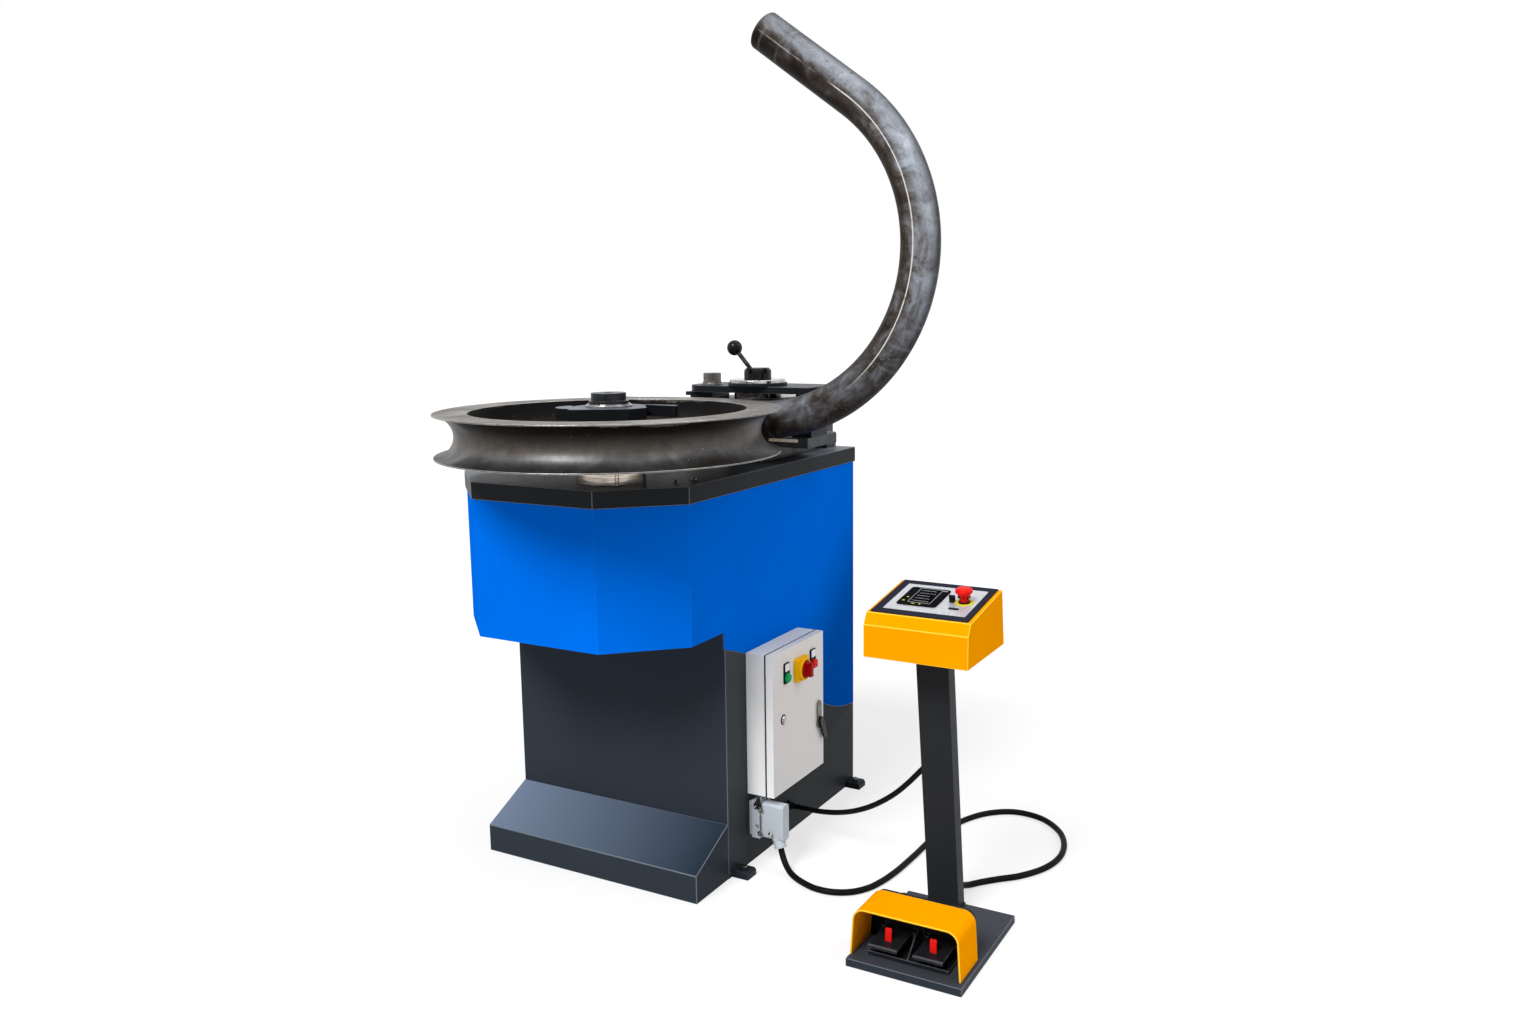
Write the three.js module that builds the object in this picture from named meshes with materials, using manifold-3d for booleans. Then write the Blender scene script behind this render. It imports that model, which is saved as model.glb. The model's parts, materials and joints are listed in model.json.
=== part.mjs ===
// Rotary pipe bending machine with a large grooved former, a counter roller in a bridge clamp,
// a pipe being bent, an electric enclosure and a separate console with two guarded foot pedals.
// Millimetres, +Z up. The origin is the centre of the column's footprint on the floor,
// the operator's side faces -Y and the electric enclosure faces +X.
import * as THREE from 'three';
import Module from 'manifold-3d';
import { mergeVertices } from 'three/addons/utils/BufferGeometryUtils.js';

const wasm = await Module();
wasm.setup();

// General clearances
const gap = 0.3;             // between pieces that rest on or touch each other
const runningGap = 0.4;      // round a shaft or stem that moves in its bore
const overrun = 2;           // how far a cutter reaches past the faces that it cuts

// Counts of facets and repeats
const fineSides = 56;
const roundSides = 32;
const smallSides = 20;
const ballSides = 16;
const cableSides = 8;
const hexSides = 6;
const arcSegments = 3;       // of a rounded corner, doubled by three.js
const lobeSegments = 8;
const skirtSegments = 24;
const pipeSides = 20;
const bendSteps = 16;
const grooveSteps = 8;
const flankSteps = 2;
const footCableSteps = 52;
const consoleCableSteps = 26;
const mergeTolerance = 1e-4;

// Cabinet
const column = {
  width: 700, depth: 788, wall: 8, openingMargin: 50, rearOpeningBottom: 60, rearOpeningDrop: 49.3,
};
const base = {
  thickness: 12, tabHeight: 20, tabReach: 50, tabWidth: 45, tabInset: 16, tabBevel: 6, holeRadius: 7,
};
const table = { top: 1095, thickness: 45.4, overhang: 4.5 };
const head = { bottom: 688, reach: 321, leftOverhang: 20, chamferWidth: 170, chamferDepth: 161, wall: 4 };
const skirt = { frontDrop: 46, backHeight: 268 };
const skirtDepthShares = [0.516, 0.618];
const skirtDropShares = [0.339, 0.94];
const toe = { reach: 162, backHeight: 157, frontHeight: 77, wall: 4 };
const rearCover = { lap: 20, thickness: 3, bottom: 40, louvreLength: 90, louvreHeight: 6, louvrePitch: 22 };
const louvreRows = 6;
const louvreColumns = 3;

// Former, its spindle and the drive below the table
const spindleAt = { x: 126, y: -564 };
const former = {
  pitchRadius: 432, rimSetback: 1, rimWidth: 85, lip: 3.4, hubRadius: 95, hubHeight: 86.7, webLift: 17,
  webThickness: 20, holeRadius: 7, holeDepth: 40, holeInset: 11.696,
};
const formerHoleTurn = 25.182;  // degrees of the small hole in the rim from +X
const spindle = {
  radius: 45, tail: 63, shoulderRadius: 70, shoulderHeight: 8.4, studRadius: 30, studHeight: 19.9,
};
const housing = { collarWidth: 10, tubeRadius: 78, boreClearance: 7, drop: 170, rise: 65 };
const bearing = { outerRadius: 62, thickness: 28, grooveDepth: 3, grooveWidth: 12 };
const arm = {
  thickness: 28.4, hubRadius: 92, lobeRadius: 60, lobeX: -72, lobeY: -8, tipRadius: 18, tipX: 154, tipY: 10,
  blockLeft: -88, blockRight: 58, blockFront: -96, cornerX: 100, cornerY: -54,
};
const armTurn = 29;          // degrees of the arm's long axis from +X
const washer = { radius: 58, thickness: 7.4 };
const nut = { skirtRadius: 50, skirtHeight: 7, radius: 44, height: 26.7 };
const gears = { module: 5, width: 35, backlash: 0.5, tipClearanceShare: 0.25 };
const driveTeeth = 52;
const pinionTeeth = 15;
const pressureAngle = 20 * Math.PI / 180;
const driveWheel = { webThickness: 18, rimWidth: 16, hubRadius: 68 };
const pinionShaft = { radius: 18, length: 98 };
const gearbox = { gearClearance: 8, width: 180, tubeClearance: 6, backReach: 96.5, chamfer: 24, rib: 8 };
const ribCount = 4;
const motor = {
  radius: 76, finDepth: 8, length: 250, clearanceAbove: 11.3, capLength: 42, capInset: 6, flange: 14,
};
const finCount = 18;

// Pipe in the machine
const pipe = { radius: 50.8, wall: 4, startReach: 336 };
const bend = { startReach: 201, radius: 455, tailLength: 317 };
const bendAngle = 143.5 * Math.PI / 180;

// Counter roller and its sliding bridge clamp
const roller = { shiftX: 114, pitchRadius: 123, rimSetback: 11, lip: 1.4, bossRadius: 67, bossDrop: 2.7 };
const way = { width: 100, frontReach: 81, windowInset: 64, windowLength: 80, windowHeight: 26 };
const carriage = {
  frontReach: 61, backReach: 159, thickness: 27.7, guideWidth: 30, guideDrop: 30, cornerCut: 40,
  pinSocketDepth: 6,
};
const rightPost = { width: 50, rollerGap: 28, frontReach: 36, backReach: 59, footReach: 14, footHeight: 26 };
const leftPost = {
  inset: 4, width: 76, rollerGap: 18, frontReach: 36, backReach: 59, capWidth: 92, capHeight: 11,
};
const bridge = {
  frontReach: 55, backReach: 115, thickness: 19.3, rise: 11.7, leftRadius: 48, rightRadius: 10,
};
const pin = { radius: 30, flangeRadius: 84, flangeHeight: 8.7, discRadius: 80, discHeight: 9, bevel: 2 };
const leverHub = { radius: 39, height: 31.7, bevel: 7, notchWidth: 12, notchDepth: 7 };
const hubNotches = 6;
const lever = {
  rodRadius: 6, ballRadius: 22, reachX: 75, rise: 87, startOut: 18, startUp: 22, rodInBall: 14,
};
const bridgeBolt = {
  postInset: 45, shiftY: 14, headRadius: 26, headHeight: 26, washerRadius: 29, washerHeight: 6,
  shankRadius: 14.5, depth: 60,
};
const sideScrew = {
  radius: 6, insert: 18, reach: 24, knobRadius: 13, knobLength: 24, bevel: 2, noseBevel: 4,
};
const screwBlock = { width: 80, length: 44, height: 44, bevel: 8 };
const thrust = {
  radius: 7, clearanceBelow: 3.7, frontReach: 69, collarRadius: 10.5, collarLength: 8, hexRadius: 11,
  hexLength: 22,
};

// Electric enclosure on the right side
const enclosure = {
  frontInset: 105, width: 300, bottom: 206.7, height: 399.6, depth: 56.7, wall: 2.5,
  rimWidth: 16, lipReach: 8, lipWall: 2.5,
};
const door = { thickness: 21.4, gapToBody: 5, wall: 2 };
const doorHinge = { radius: 2.2, endInset: 24 };
const doorRow = { buttonDrop: 78.3, switchDrop: 72.3, startShare: 0.25, switchShare: 0.51, stopShare: 0.77 };
const pushButton = {
  stemRadius: 11, stemLength: 20, capRadius: 13, capLength: 9, capBevel: 2.5, lift: 4.6,
};
const switchPlate = { side: 66, thickness: 13, cornerRadius: 6 };
const switchHandle = {
  radius: 25, discLength: 12, taper: 0.3, gripLength: 16, gripWidth: 14, gripReach: 20, shaftRadius: 6,
  shaftDepth: 6,
};
const doorPlug = {
  acrossShare: 0.19, drop: 192.3, stemRadius: 9, stemLength: 12, headRadius: 12, rimLength: 3.5,
  faceRadius: 8, headLength: 7,
};
const doorHandle = { acrossShare: 0.89, drop: 198.3, length: 81, width: 24, thickness: 6 };
const doorKey = {
  drop: 58, radius: 7, depth: 11, bowRadius: 11, bladeWidth: 9, bladeLength: 62, thickness: 7,
};
const keyTilt = 24;          // degrees from hanging straight down

// Multi-pin connector below the enclosure
const socket = {
  frontInset: 4, width: 40, drop: 19.7, height: 107, depth: 34.7, baseDepth: 12, baseInset: 5,
  sealLength: 3.4, sealInset: 5,
};
const hood = {
  length: 68, inset: 3, cornerRadius: 8, glandOffset: 11, glandRadius: 18, glandLength: 27, ribDepth: 1.6,
};
const hoodRibs = 3;
const glandTilt = 28 * Math.PI / 180;
const glandTurn = -34 * Math.PI / 180;
const bail = {
  pivotSetback: 11, pivotDrop: 15, armWidth: 12, thickness: 2.6, barRise: 25, barRadius: 2.4,
  margin: 3.3, pegReach: 19,
};

// Cables
const footCable = { radius: 8.5, axisHeight: 9.3, postHeight: 40 };
const cableStraight = 11;    // of each cable at its ends
const consoleCable = { radius: 7.5, wallHeight: 85, wallY: -54, postHeight: 456 };
const wallGland = { flangeRadius: 15, flangeLength: 6, radius: 12, noseRadius: 9.5, length: 21.7 };

// Console, its post and the foot plate
const footPlate = { width: 286, depth: 381, centreX: 961, front: -645, thickness: 20 };
const post = {
  width: 82, depth: 40, wall: 3, shiftX: -30, frontInset: 339, lean: 102, height: 692.4, bossRadius: 13,
  bossLength: 18,
};
const consoleBox = {
  width: 258, frontReach: 106, chamferDepth: 17, topDepth: 233, depth: 253, frontHeight: 78,
  chamferHeight: 105, backHeight: 138, wall: 2.5, openingInset: 12, openingDepth: 10,
};
const panel = { sideInset: 9, edgeInset: 4, thickness: 3 };
const estop = {
  shiftX: 74, reach: 106, stemRadius: 10, stemTop: 9, neckRadius: 12, neckTop: 12.3, shoulderRadius: 16.4,
  shoulderTop: 24.7, headRadius: 20.5, rimBottom: 27.8, rimTop: 32.4, height: 37, insert: 15,
};
const selector = {
  shiftX: 45, reach: 104, radius: 7.5, height: 9, gripWidth: 5, gripHeight: 8, insert: 12,
  stemRadius: 5,
};

// Foot switch: bed, pedals, safety latches and guard
const footSwitch = { shiftX: -4, frontInset: 38, depth: 110 };
const bed = {
  width: 200, thickness: 7, lip: 3, lipHeight: 11, dividerWidth: 3, dividerHeight: 50,
  rearLength: 16, rearHeight: 62, earWidth: 6,
};
const pedal = {
  spacing: 112, width: 72, length: 100, thickness: 8, noseBevel: 2, topRise: 30, pivotInset: 23,
  pivotRise: 23, barrelRadius: 6, slotFrontReach: 7, slotBackReach: 10,
};
const latch = {
  width: 16, thickness: 5, reach: 64, lift: 1.6, rise: 60, earWidth: 3, earHeight: 12, earDepth: 12,
};
const guard = { width: 275, height: 119, frontReach: 18, backInset: 13, wall: 4, cornerRadius: 30, lean: 6 };

// Finishes
const finish = {
  blue: { color: 0x0062d6, roughness: 0.35, metalness: 0.1 },
  anthracite: { color: 0x2b3036, roughness: 0.45, metalness: 0.2 },
  blackSteel: { color: 0x202326, roughness: 0.4, metalness: 0.5 },
  rawSteel: { color: 0x5a5651, roughness: 0.4, metalness: 0.9 },
  polished: { color: 0xb9b6b0, roughness: 0.2, metalness: 1 },
  blackOxide: { color: 0x17181b, roughness: 0.35, metalness: 0.6 },
  castIron: { color: 0x3c3f42, roughness: 0.6, metalness: 0.5 },
  greyPaint: { color: 0xd5d4d0, roughness: 0.5, metalness: 0.1 },
  orange: { color: 0xfaa500, roughness: 0.35, metalness: 0.1 },
  red: { color: 0xe02a1c, roughness: 0.4, metalness: 0 },
  green: { color: 0x10a060, roughness: 0.3, metalness: 0 },
  yellow: { color: 0xf5bd00, roughness: 0.4, metalness: 0 },
  connectorGrey: { color: 0xa5acb4, roughness: 0.5, metalness: 0.4 },
  blackPlastic: { color: 0x121316, roughness: 0.5, metalness: 0 },
  cableBlack: { color: 0x1c1e22, roughness: 0.6, metalness: 0 },
};

const machine = new THREE.Group();

// Adds one named piece to the machine
function piece(name, body, look) {
  const material = new THREE.MeshStandardMaterial({ ...look, flatShading: true });
  const mesh = new THREE.Mesh(toGeometry(body), material);
  mesh.name = name;
  machine.add(mesh);
  return mesh;
}

// Turns a closed geometry into a solid that can be joined and cut
function toSolid(geometry) {
  const bare = geometry.clone();
  bare.deleteAttribute('normal');
  bare.deleteAttribute('uv');
  const merged = mergeVertices(bare.index ? bare.toNonIndexed() : bare, mergeTolerance);
  const place = merged.getAttribute('position').array;
  const corners = Array.from(merged.index.array);
  const triangles = [];
  for (let i = 0; i < corners.length; i += 3) {
    const [a, b, c] = corners.slice(i, i + 3);
    if (a !== b && b !== c && c !== a) triangles.push(a, b, c);
  }
  if (signedVolume(place, triangles) < 0) triangles.reverse();
  const mesh = new wasm.Mesh({
    numProp: 3,
    vertProperties: Float32Array.from(place),
    triVerts: Uint32Array.from(triangles),
  });
  return new wasm.Manifold(mesh);
}

function signedVolume(place, triangles) {
  const [a, b, c] = [new THREE.Vector3(), new THREE.Vector3(), new THREE.Vector3()];
  let sum = 0;
  for (let i = 0; i < triangles.length; i += 3) {
    a.fromArray(place, 3 * triangles[i]);
    b.fromArray(place, 3 * triangles[i + 1]);
    c.fromArray(place, 3 * triangles[i + 2]);
    sum += a.dot(b.cross(c));
  }
  return sum / 6;
}

function toGeometry(body) {
  const mesh = body.getMesh();
  const geometry = new THREE.BufferGeometry();
  geometry.setAttribute('position', new THREE.BufferAttribute(Float32Array.from(mesh.vertProperties), 3));
  geometry.setIndex(Array.from(mesh.triVerts));
  geometry.computeVertexNormals();
  return geometry;
}

function join(first, ...others) {
  return others.reduce((sum, other) => sum.add(other), first);
}

function cut(first, ...cutters) {
  return cutters.reduce((rest, cutter) => rest.subtract(cutter), first);
}

// A box between two corners
function block(x0, x1, y0, y1, z0, z1) {
  const geometry = new THREE.BoxGeometry(x1 - x0, y1 - y0, z1 - z0);
  geometry.translate((x0 + x1) / 2, (y0 + y1) / 2, (z0 + z1) / 2);
  return toSolid(geometry);
}

function outline(points) {
  return new THREE.Shape(points.map(([u, v]) => new THREE.Vector2(u, v)));
}

function onCircle([radius, angle]) {
  return [radius * Math.cos(angle), radius * Math.sin(angle)];
}

// Prisms of an outline drawn in XY, YZ or XZ
function extruded(shape, depth, curveSegments) {
  return new THREE.ExtrudeGeometry(shape, { depth, bevelEnabled: false, curveSegments });
}

function prismZ(shape, z0, z1, curveSegments = arcSegments) {
  const geometry = extruded(shape, z1 - z0, curveSegments);
  geometry.translate(0, 0, z0);
  return toSolid(geometry);
}

function prismX(shape, x0, x1, curveSegments = arcSegments) {
  const geometry = extruded(shape, x1 - x0, curveSegments);
  const axes = new THREE.Matrix4().makeBasis(axisY, axisZ, axisX);
  geometry.applyMatrix4(axes);
  geometry.translate(x0, 0, 0);
  return toSolid(geometry);
}

function prismY(shape, y0, y1, curveSegments = arcSegments) {
  const geometry = extruded(shape, y1 - y0, curveSegments);
  const axes = new THREE.Matrix4().makeBasis(axisX, axisZ, axisY.clone().negate());
  geometry.applyMatrix4(axes);
  geometry.translate(0, y1, 0);
  return toSolid(geometry);
}

// A turned piece on the Z axis from a closed profile of radius and height
function turned(profile, sides) {
  const points = profile.map(([radius, height]) => new THREE.Vector2(radius, height));
  const first = profile[0];
  const last = profile[profile.length - 1];
  const closed = first[0] === last[0] && first[1] === last[1];
  if (!closed && (first[0] > 0 || last[0] > 0)) points.push(points[0].clone());
  const geometry = new THREE.LatheGeometry(points, sides);
  geometry.rotateX(Math.PI / 2);
  return toSolid(geometry);
}

function rod(radius, z0, z1, sides = smallSides) {
  return turned([[0, z0], [radius, z0], [radius, z1], [0, z1]], sides);
}

function ring(outer, inner, z0, z1, sides = roundSides) {
  return turned([[inner, z0], [outer, z0], [outer, z1], [inner, z1]], sides);
}

// Moves a piece made on the Z axis so that it starts at a point and runs along a direction
function placed(body, at, direction) {
  const turn = new THREE.Quaternion().setFromUnitVectors(axisZ, direction.clone().normalize());
  const matrix = new THREE.Matrix4().compose(at, turn, new THREE.Vector3(1, 1, 1));
  return body.transform(matrix.elements);
}

function at(x, y, z) {
  return new THREE.Vector3(x, y, z);
}

function movedTo(body, x, y) {
  return body.translate([x, y, 0]);
}

function roundedRectangle(x0, x1, y0, y1, radius) {
  const shape = new THREE.Shape();
  shape.moveTo(x0 + radius, y0);
  shape.lineTo(x1 - radius, y0);
  shape.absarc(x1 - radius, y0 + radius, radius, -Math.PI / 2, 0);
  shape.lineTo(x1, y1 - radius);
  shape.absarc(x1 - radius, y1 - radius, radius, 0, Math.PI / 2);
  shape.lineTo(x0 + radius, y1);
  shape.absarc(x0 + radius, y1 - radius, radius, Math.PI / 2, Math.PI);
  shape.lineTo(x0, y0 + radius);
  shape.absarc(x0 + radius, y0 + radius, radius, Math.PI, Math.PI * 3 / 2);
  return shape;
}

const axisX = at(1, 0, 0);
const axisY = at(0, 1, 0);
const axisZ = at(0, 0, 1);

// Places that several pieces share
const columnX = column.width / 2;
const columnY = column.depth / 2;
const headLeft = -columnX - head.leftOverhang;
const headFront = -columnY - head.reach;
const tableUnderside = table.top - table.thickness;
const headTop = tableUnderside - gap;
const skirtFront = head.bottom - skirt.frontDrop;
const rearOpeningTop = headTop - column.rearOpeningDrop;

// Heights and radii of the spindle group, the pipe and the clamp, stacked up from the table
const housingBottom = table.top - housing.drop;
const housingTop = table.top + housing.rise;
const spindleBottom = housingBottom - spindle.tail;
const grooveRadius = pipe.radius + gap;
const formerBottom = housingTop + gap + spindle.shoulderHeight + gap;
const formerThickness = 2 * (grooveRadius + former.lip);
const formerRadius = former.pitchRadius - former.rimSetback;
const openingRadius = formerRadius - former.rimWidth;
const hubTop = formerBottom + former.hubHeight;
const shaftTop = hubTop + gap + arm.thickness + gap + washer.thickness;
const studTop = shaftTop + spindle.studHeight;
const pipeHeight = formerBottom + formerThickness / 2;
const pipeY = spindleAt.y + former.pitchRadius;
const pipeStart = spindleAt.x - pipe.startReach;
const bendStart = spindleAt.x + bend.startReach;
const rollerAt = { x: spindleAt.x + roller.shiftX, y: pipeY + roller.pitchRadius };
const rollerRadius = roller.pitchRadius - roller.rimSetback;
const rollerBottom = pipeHeight - grooveRadius - roller.lip;
const rollerTop = pipeHeight + grooveRadius + roller.lip;

// The head's plan outline, moved outward by a distance
function headOutline(out, backY) {
  const chamferTurn = Math.atan2(head.chamferDepth, head.chamferWidth);
  const frontShift = out * Math.tan(chamferTurn / 2);
  const sideShift = out * Math.tan(Math.PI / 4 - chamferTurn / 2);
  const left = headLeft - out;
  const right = columnX + out;
  const front = headFront - out;
  const sideY = headFront + head.chamferDepth - sideShift;
  return outline([
    [left, backY],
    [left, sideY],
    [headLeft + head.chamferWidth - frontShift, front],
    [columnX - head.chamferWidth + frontShift, front],
    [right, sideY],
    [right, backY],
  ]);
}

// The side skirt's outline in YZ, from its S-shaped lower edge up to a height
function skirtOutline(out, top) {
  const drop = skirtFront - skirt.backHeight;
  const shape = new THREE.Shape();
  const front = -columnY - out;
  const back = columnY + out;
  shape.moveTo(front, top);
  shape.lineTo(front, skirtFront - out);
  const [first, second] = skirtDepthShares.map((share, i) => [
    -columnY + share * column.depth, skirtFront - skirtDropShares[i] * drop - out,
  ]);
  shape.bezierCurveTo(...first, ...second, back, skirt.backHeight - out);
  shape.lineTo(back, top);
  return shape;
}

// A sole under the column and four thick bevelled tabs with bolt holes beside it
function makeBaseFrame() {
  const sole = block(-columnX, columnX, -columnY, columnY, 0, base.thickness);
  const tabs = [];
  for (const side of [-1, 1]) {
    for (const end of [-1, 1]) {
      const near = side * (columnX + gap);
      const far = side * (columnX + base.tabReach);
      const foot = side * (columnX - base.tabWidth);
      const bevelStart = far - side * base.tabBevel;
      const shape = outline([
        [foot, 0], [foot, base.thickness], [near, base.thickness], [near, base.tabHeight],
        [bevelStart, base.tabHeight], [far, base.tabHeight - base.tabBevel], [far, 0],
      ]);
      const outerY = end * (columnY - base.tabInset);
      const innerY = outerY - end * base.tabWidth;
      const tab = prismY(shape, Math.min(outerY, innerY), Math.max(outerY, innerY));
      const hole = rod(base.holeRadius, -overrun, base.tabHeight + overrun, smallSides / 2);
      tabs.push(cut(tab, movedTo(hole, side * (columnX + base.tabReach / 2), (outerY + innerY) / 2)));
    }
  }
  piece('base_frame', join(sole, ...tabs), finish.anthracite);
}

function makeColumn() {
  const bottom = base.thickness + gap;
  const wall = column.wall;
  const outer = block(-columnX, columnX, -columnY, columnY, bottom, headTop);
  const inner = block(-columnX + wall, columnX - wall, -columnY + wall, columnY - wall,
    bottom - overrun, headTop + overrun);
  const openingX = columnX - column.openingMargin;
  const frontOpening = block(-openingX, openingX, -columnY - overrun, -columnY + wall + overrun,
    head.bottom + head.wall + column.openingMargin, headTop + overrun);
  const rearOpening = block(-openingX, openingX, columnY - wall - overrun, columnY + overrun,
    column.rearOpeningBottom, rearOpeningTop);
  const skirtRecess = prismX(
    skirtOutline(gap, headTop + overrun), columnX - head.wall - gap, columnX + overrun, skirtSegments);
  piece('column_shell', cut(outer, inner, frontOpening, rearOpening, skirtRecess), finish.anthracite);
}

function makeHead() {
  const wall = head.wall;
  const outer = prismZ(headOutline(0, columnY), head.bottom, headTop);
  const inner = prismZ(headOutline(-wall, columnY + overrun), head.bottom + wall, headTop + overrun);
  const columnSpace = block(-columnX - gap, columnX - wall, -columnY - gap, columnY + overrun,
    head.bottom - overrun, head.bottom + wall + overrun);
  const side = prismX(skirtOutline(0, head.bottom + wall), columnX - wall, columnX, skirtSegments);
  piece('head_shell', join(cut(outer, inner, columnSpace), side), finish.blue);
}

function makeTable() {
  const plate = prismZ(headOutline(table.overhang, columnY + table.overhang), tableUnderside, table.top);
  const hole = rod(housing.tubeRadius + gap, tableUnderside - overrun, table.top + overrun, roundSides);
  piece('top_plate', cut(plate, movedTo(hole, spindleAt.x, spindleAt.y)), finish.blackSteel);
}

function makeToeBox() {
  const back = -columnY - gap;
  const front = -columnY - toe.reach;
  const wall = toe.wall;
  const outerShape = outline([[back, 0], [back, toe.backHeight], [front, toe.frontHeight], [front, 0]]);
  const innerShape = outline([
    [back - wall, -overrun], [back - wall, toe.backHeight - 2 * wall],
    [front + wall, toe.frontHeight - wall], [front + wall, -overrun],
  ]);
  const outer = prismX(outerShape, -columnX, columnX);
  const inner = prismX(innerShape, -columnX + wall, columnX - wall);
  piece('toe_box', cut(outer, inner), finish.anthracite);
}

function makeRearCover() {
  const halfWidth = columnX - column.openingMargin + rearCover.lap;
  const top = rearOpeningTop + rearCover.lap;
  const y0 = columnY + gap;
  const y1 = y0 + rearCover.thickness;
  const sheet = block(-halfWidth, halfWidth, y0, y1, rearCover.bottom, top);
  const louvres = [];
  const columnPitch = 2 * halfWidth / (louvreColumns + 1);
  for (let i = 0; i < louvreColumns; i += 1) {
    for (let j = 0; j < louvreRows; j += 1) {
      const x = -halfWidth + (i + 1) * columnPitch;
      const z = top - column.openingMargin - (j + 1) * rearCover.louvrePitch;
      louvres.push(block(x - rearCover.louvreLength / 2, x + rearCover.louvreLength / 2,
        y0 - overrun, y1 + overrun, z, z + rearCover.louvreHeight));
    }
  }
  piece('rear_panel', cut(sheet, ...louvres), finish.anthracite);
}

// Spindle housing, bearings, spindle and everything that turns with the former
const bearingBore = spindle.radius + runningGap;
const housingBore = spindle.radius + housing.boreClearance;

function makeHousing() {
  const seat = bearing.outerRadius + gap;
  const profile = [
    [housingBore, housingBottom + bearing.thickness + gap],
    [seat, housingBottom + bearing.thickness + gap],
    [seat, housingBottom],
    [housing.tubeRadius, housingBottom],
    [housing.tubeRadius, table.top + gap],
    [housing.tubeRadius + housing.collarWidth, table.top + gap],
    [housing.tubeRadius + housing.collarWidth, housingTop],
    [seat, housingTop],
    [seat, housingTop - bearing.thickness - gap],
    [housingBore, housingTop - bearing.thickness - gap],
  ];
  const body = turned(profile, roundSides);
  piece('spindle_housing', movedTo(body, spindleAt.x, spindleAt.y), finish.polished);
}

function makeBearing(name, bottom) {
  const top = bottom + bearing.thickness;
  const groove = (bearing.outerRadius + bearingBore) / 2;
  const half = bearing.grooveWidth / 2;
  const profile = [
    [bearingBore, bottom], [bearing.outerRadius, bottom], [bearing.outerRadius, top],
    [groove + half, top], [groove, top - bearing.grooveDepth], [groove - half, top], [bearingBore, top],
  ];
  piece(name, movedTo(turned(profile, roundSides), spindleAt.x, spindleAt.y), finish.polished);
}

function makeSpindle() {
  const shoulderBottom = housingTop + gap;
  const shoulderTop = formerBottom - gap;
  const body = turned([
    [0, spindleBottom], [spindle.radius, spindleBottom],
    [spindle.radius, shoulderBottom], [spindle.shoulderRadius, shoulderBottom],
    [spindle.shoulderRadius, shoulderTop], [spindle.radius, shoulderTop],
    [spindle.radius, shaftTop], [spindle.studRadius, shaftTop],
    [spindle.studRadius, studTop], [0, studTop],
  ], roundSides);
  piece('spindle', movedTo(body, spindleAt.x, spindleAt.y), finish.polished);
}

// Points of a groove of circular section, from its lower to its upper edge; its flats clear the pipe
function groovePoints(centreRadius, rimRadius, middle) {
  const edge = Math.acos((centreRadius - rimRadius) / grooveRadius);
  const step = 2 * edge / grooveSteps;
  const flatRadius = grooveRadius / Math.cos(step / 2);
  const points = [];
  for (let i = 0; i <= grooveSteps; i += 1) {
    const angle = -edge + i * step;
    points.push([centreRadius - flatRadius * Math.cos(angle), middle + flatRadius * Math.sin(angle)]);
  }
  return points;
}

function makeFormer() {
  const bore = spindle.radius + gap;
  const top = formerBottom + formerThickness;
  const webBottom = formerBottom + former.webLift;
  const webTop = webBottom + former.webThickness;
  const profile = [
    [bore, formerBottom], [former.hubRadius, formerBottom], [former.hubRadius, webBottom],
    [openingRadius, webBottom], [openingRadius, formerBottom],
    [formerRadius, formerBottom],
    ...groovePoints(former.pitchRadius, formerRadius, pipeHeight),
    [formerRadius, top], [openingRadius, top],
    [openingRadius, webTop], [former.hubRadius, webTop],
    [former.hubRadius, hubTop], [bore, hubTop],
  ];
  const hole = rod(former.holeRadius, top - former.holeDepth, top + overrun, smallSides / 2);
  const holeAt = onCircle([openingRadius + former.holeInset, THREE.MathUtils.degToRad(formerHoleTurn)]);
  const body = cut(turned(profile, fineSides), movedTo(hole, ...holeAt));
  piece('former_wheel', movedTo(body, spindleAt.x, spindleAt.y), finish.rawSteel);
}

// Cam-shaped arm that clamps the former: a round hub with a broad lobe, a long pointed one
// and a square block towards the operator with one corner cut off
function makeDriveArm() {
  const bottom = hubTop + gap;
  const top = bottom + arm.thickness;
  const hub = rod(arm.hubRadius, bottom, top, roundSides);
  const broad = lobe(arm.lobeX, arm.lobeY, arm.lobeRadius);
  const pointed = lobe(arm.tipX, arm.tipY, arm.tipRadius);
  const front = prismZ(outline([
    [arm.blockLeft, arm.blockFront], [arm.blockRight, arm.blockFront], [arm.cornerX, arm.cornerY],
    [arm.hubRadius, 0], [arm.blockLeft, 0],
  ]), bottom, top);
  const bore = rod(spindle.radius + gap, bottom - overrun, top + overrun, roundSides);
  const body = cut(join(hub, broad, pointed, front), bore).rotate([0, 0, armTurn]);
  piece('drive_arm', movedTo(body, spindleAt.x, spindleAt.y), finish.blackOxide);

  // A lobe tapers from the hub's flanks to a round end
  function lobe(x, y, radius) {
    const heading = Math.atan2(y, x);
    const tangent = Math.acos((arm.hubRadius - radius) / Math.hypot(x, y));
    const { hubRadius } = arm;
    const shape = new THREE.Shape();
    shape.moveTo(hubRadius * Math.cos(heading - tangent), hubRadius * Math.sin(heading - tangent));
    shape.absarc(x, y, radius, heading - tangent, heading + tangent);
    shape.lineTo(hubRadius * Math.cos(heading + tangent), hubRadius * Math.sin(heading + tangent));
    return prismZ(shape, bottom, top, lobeSegments);
  }
}

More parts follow.
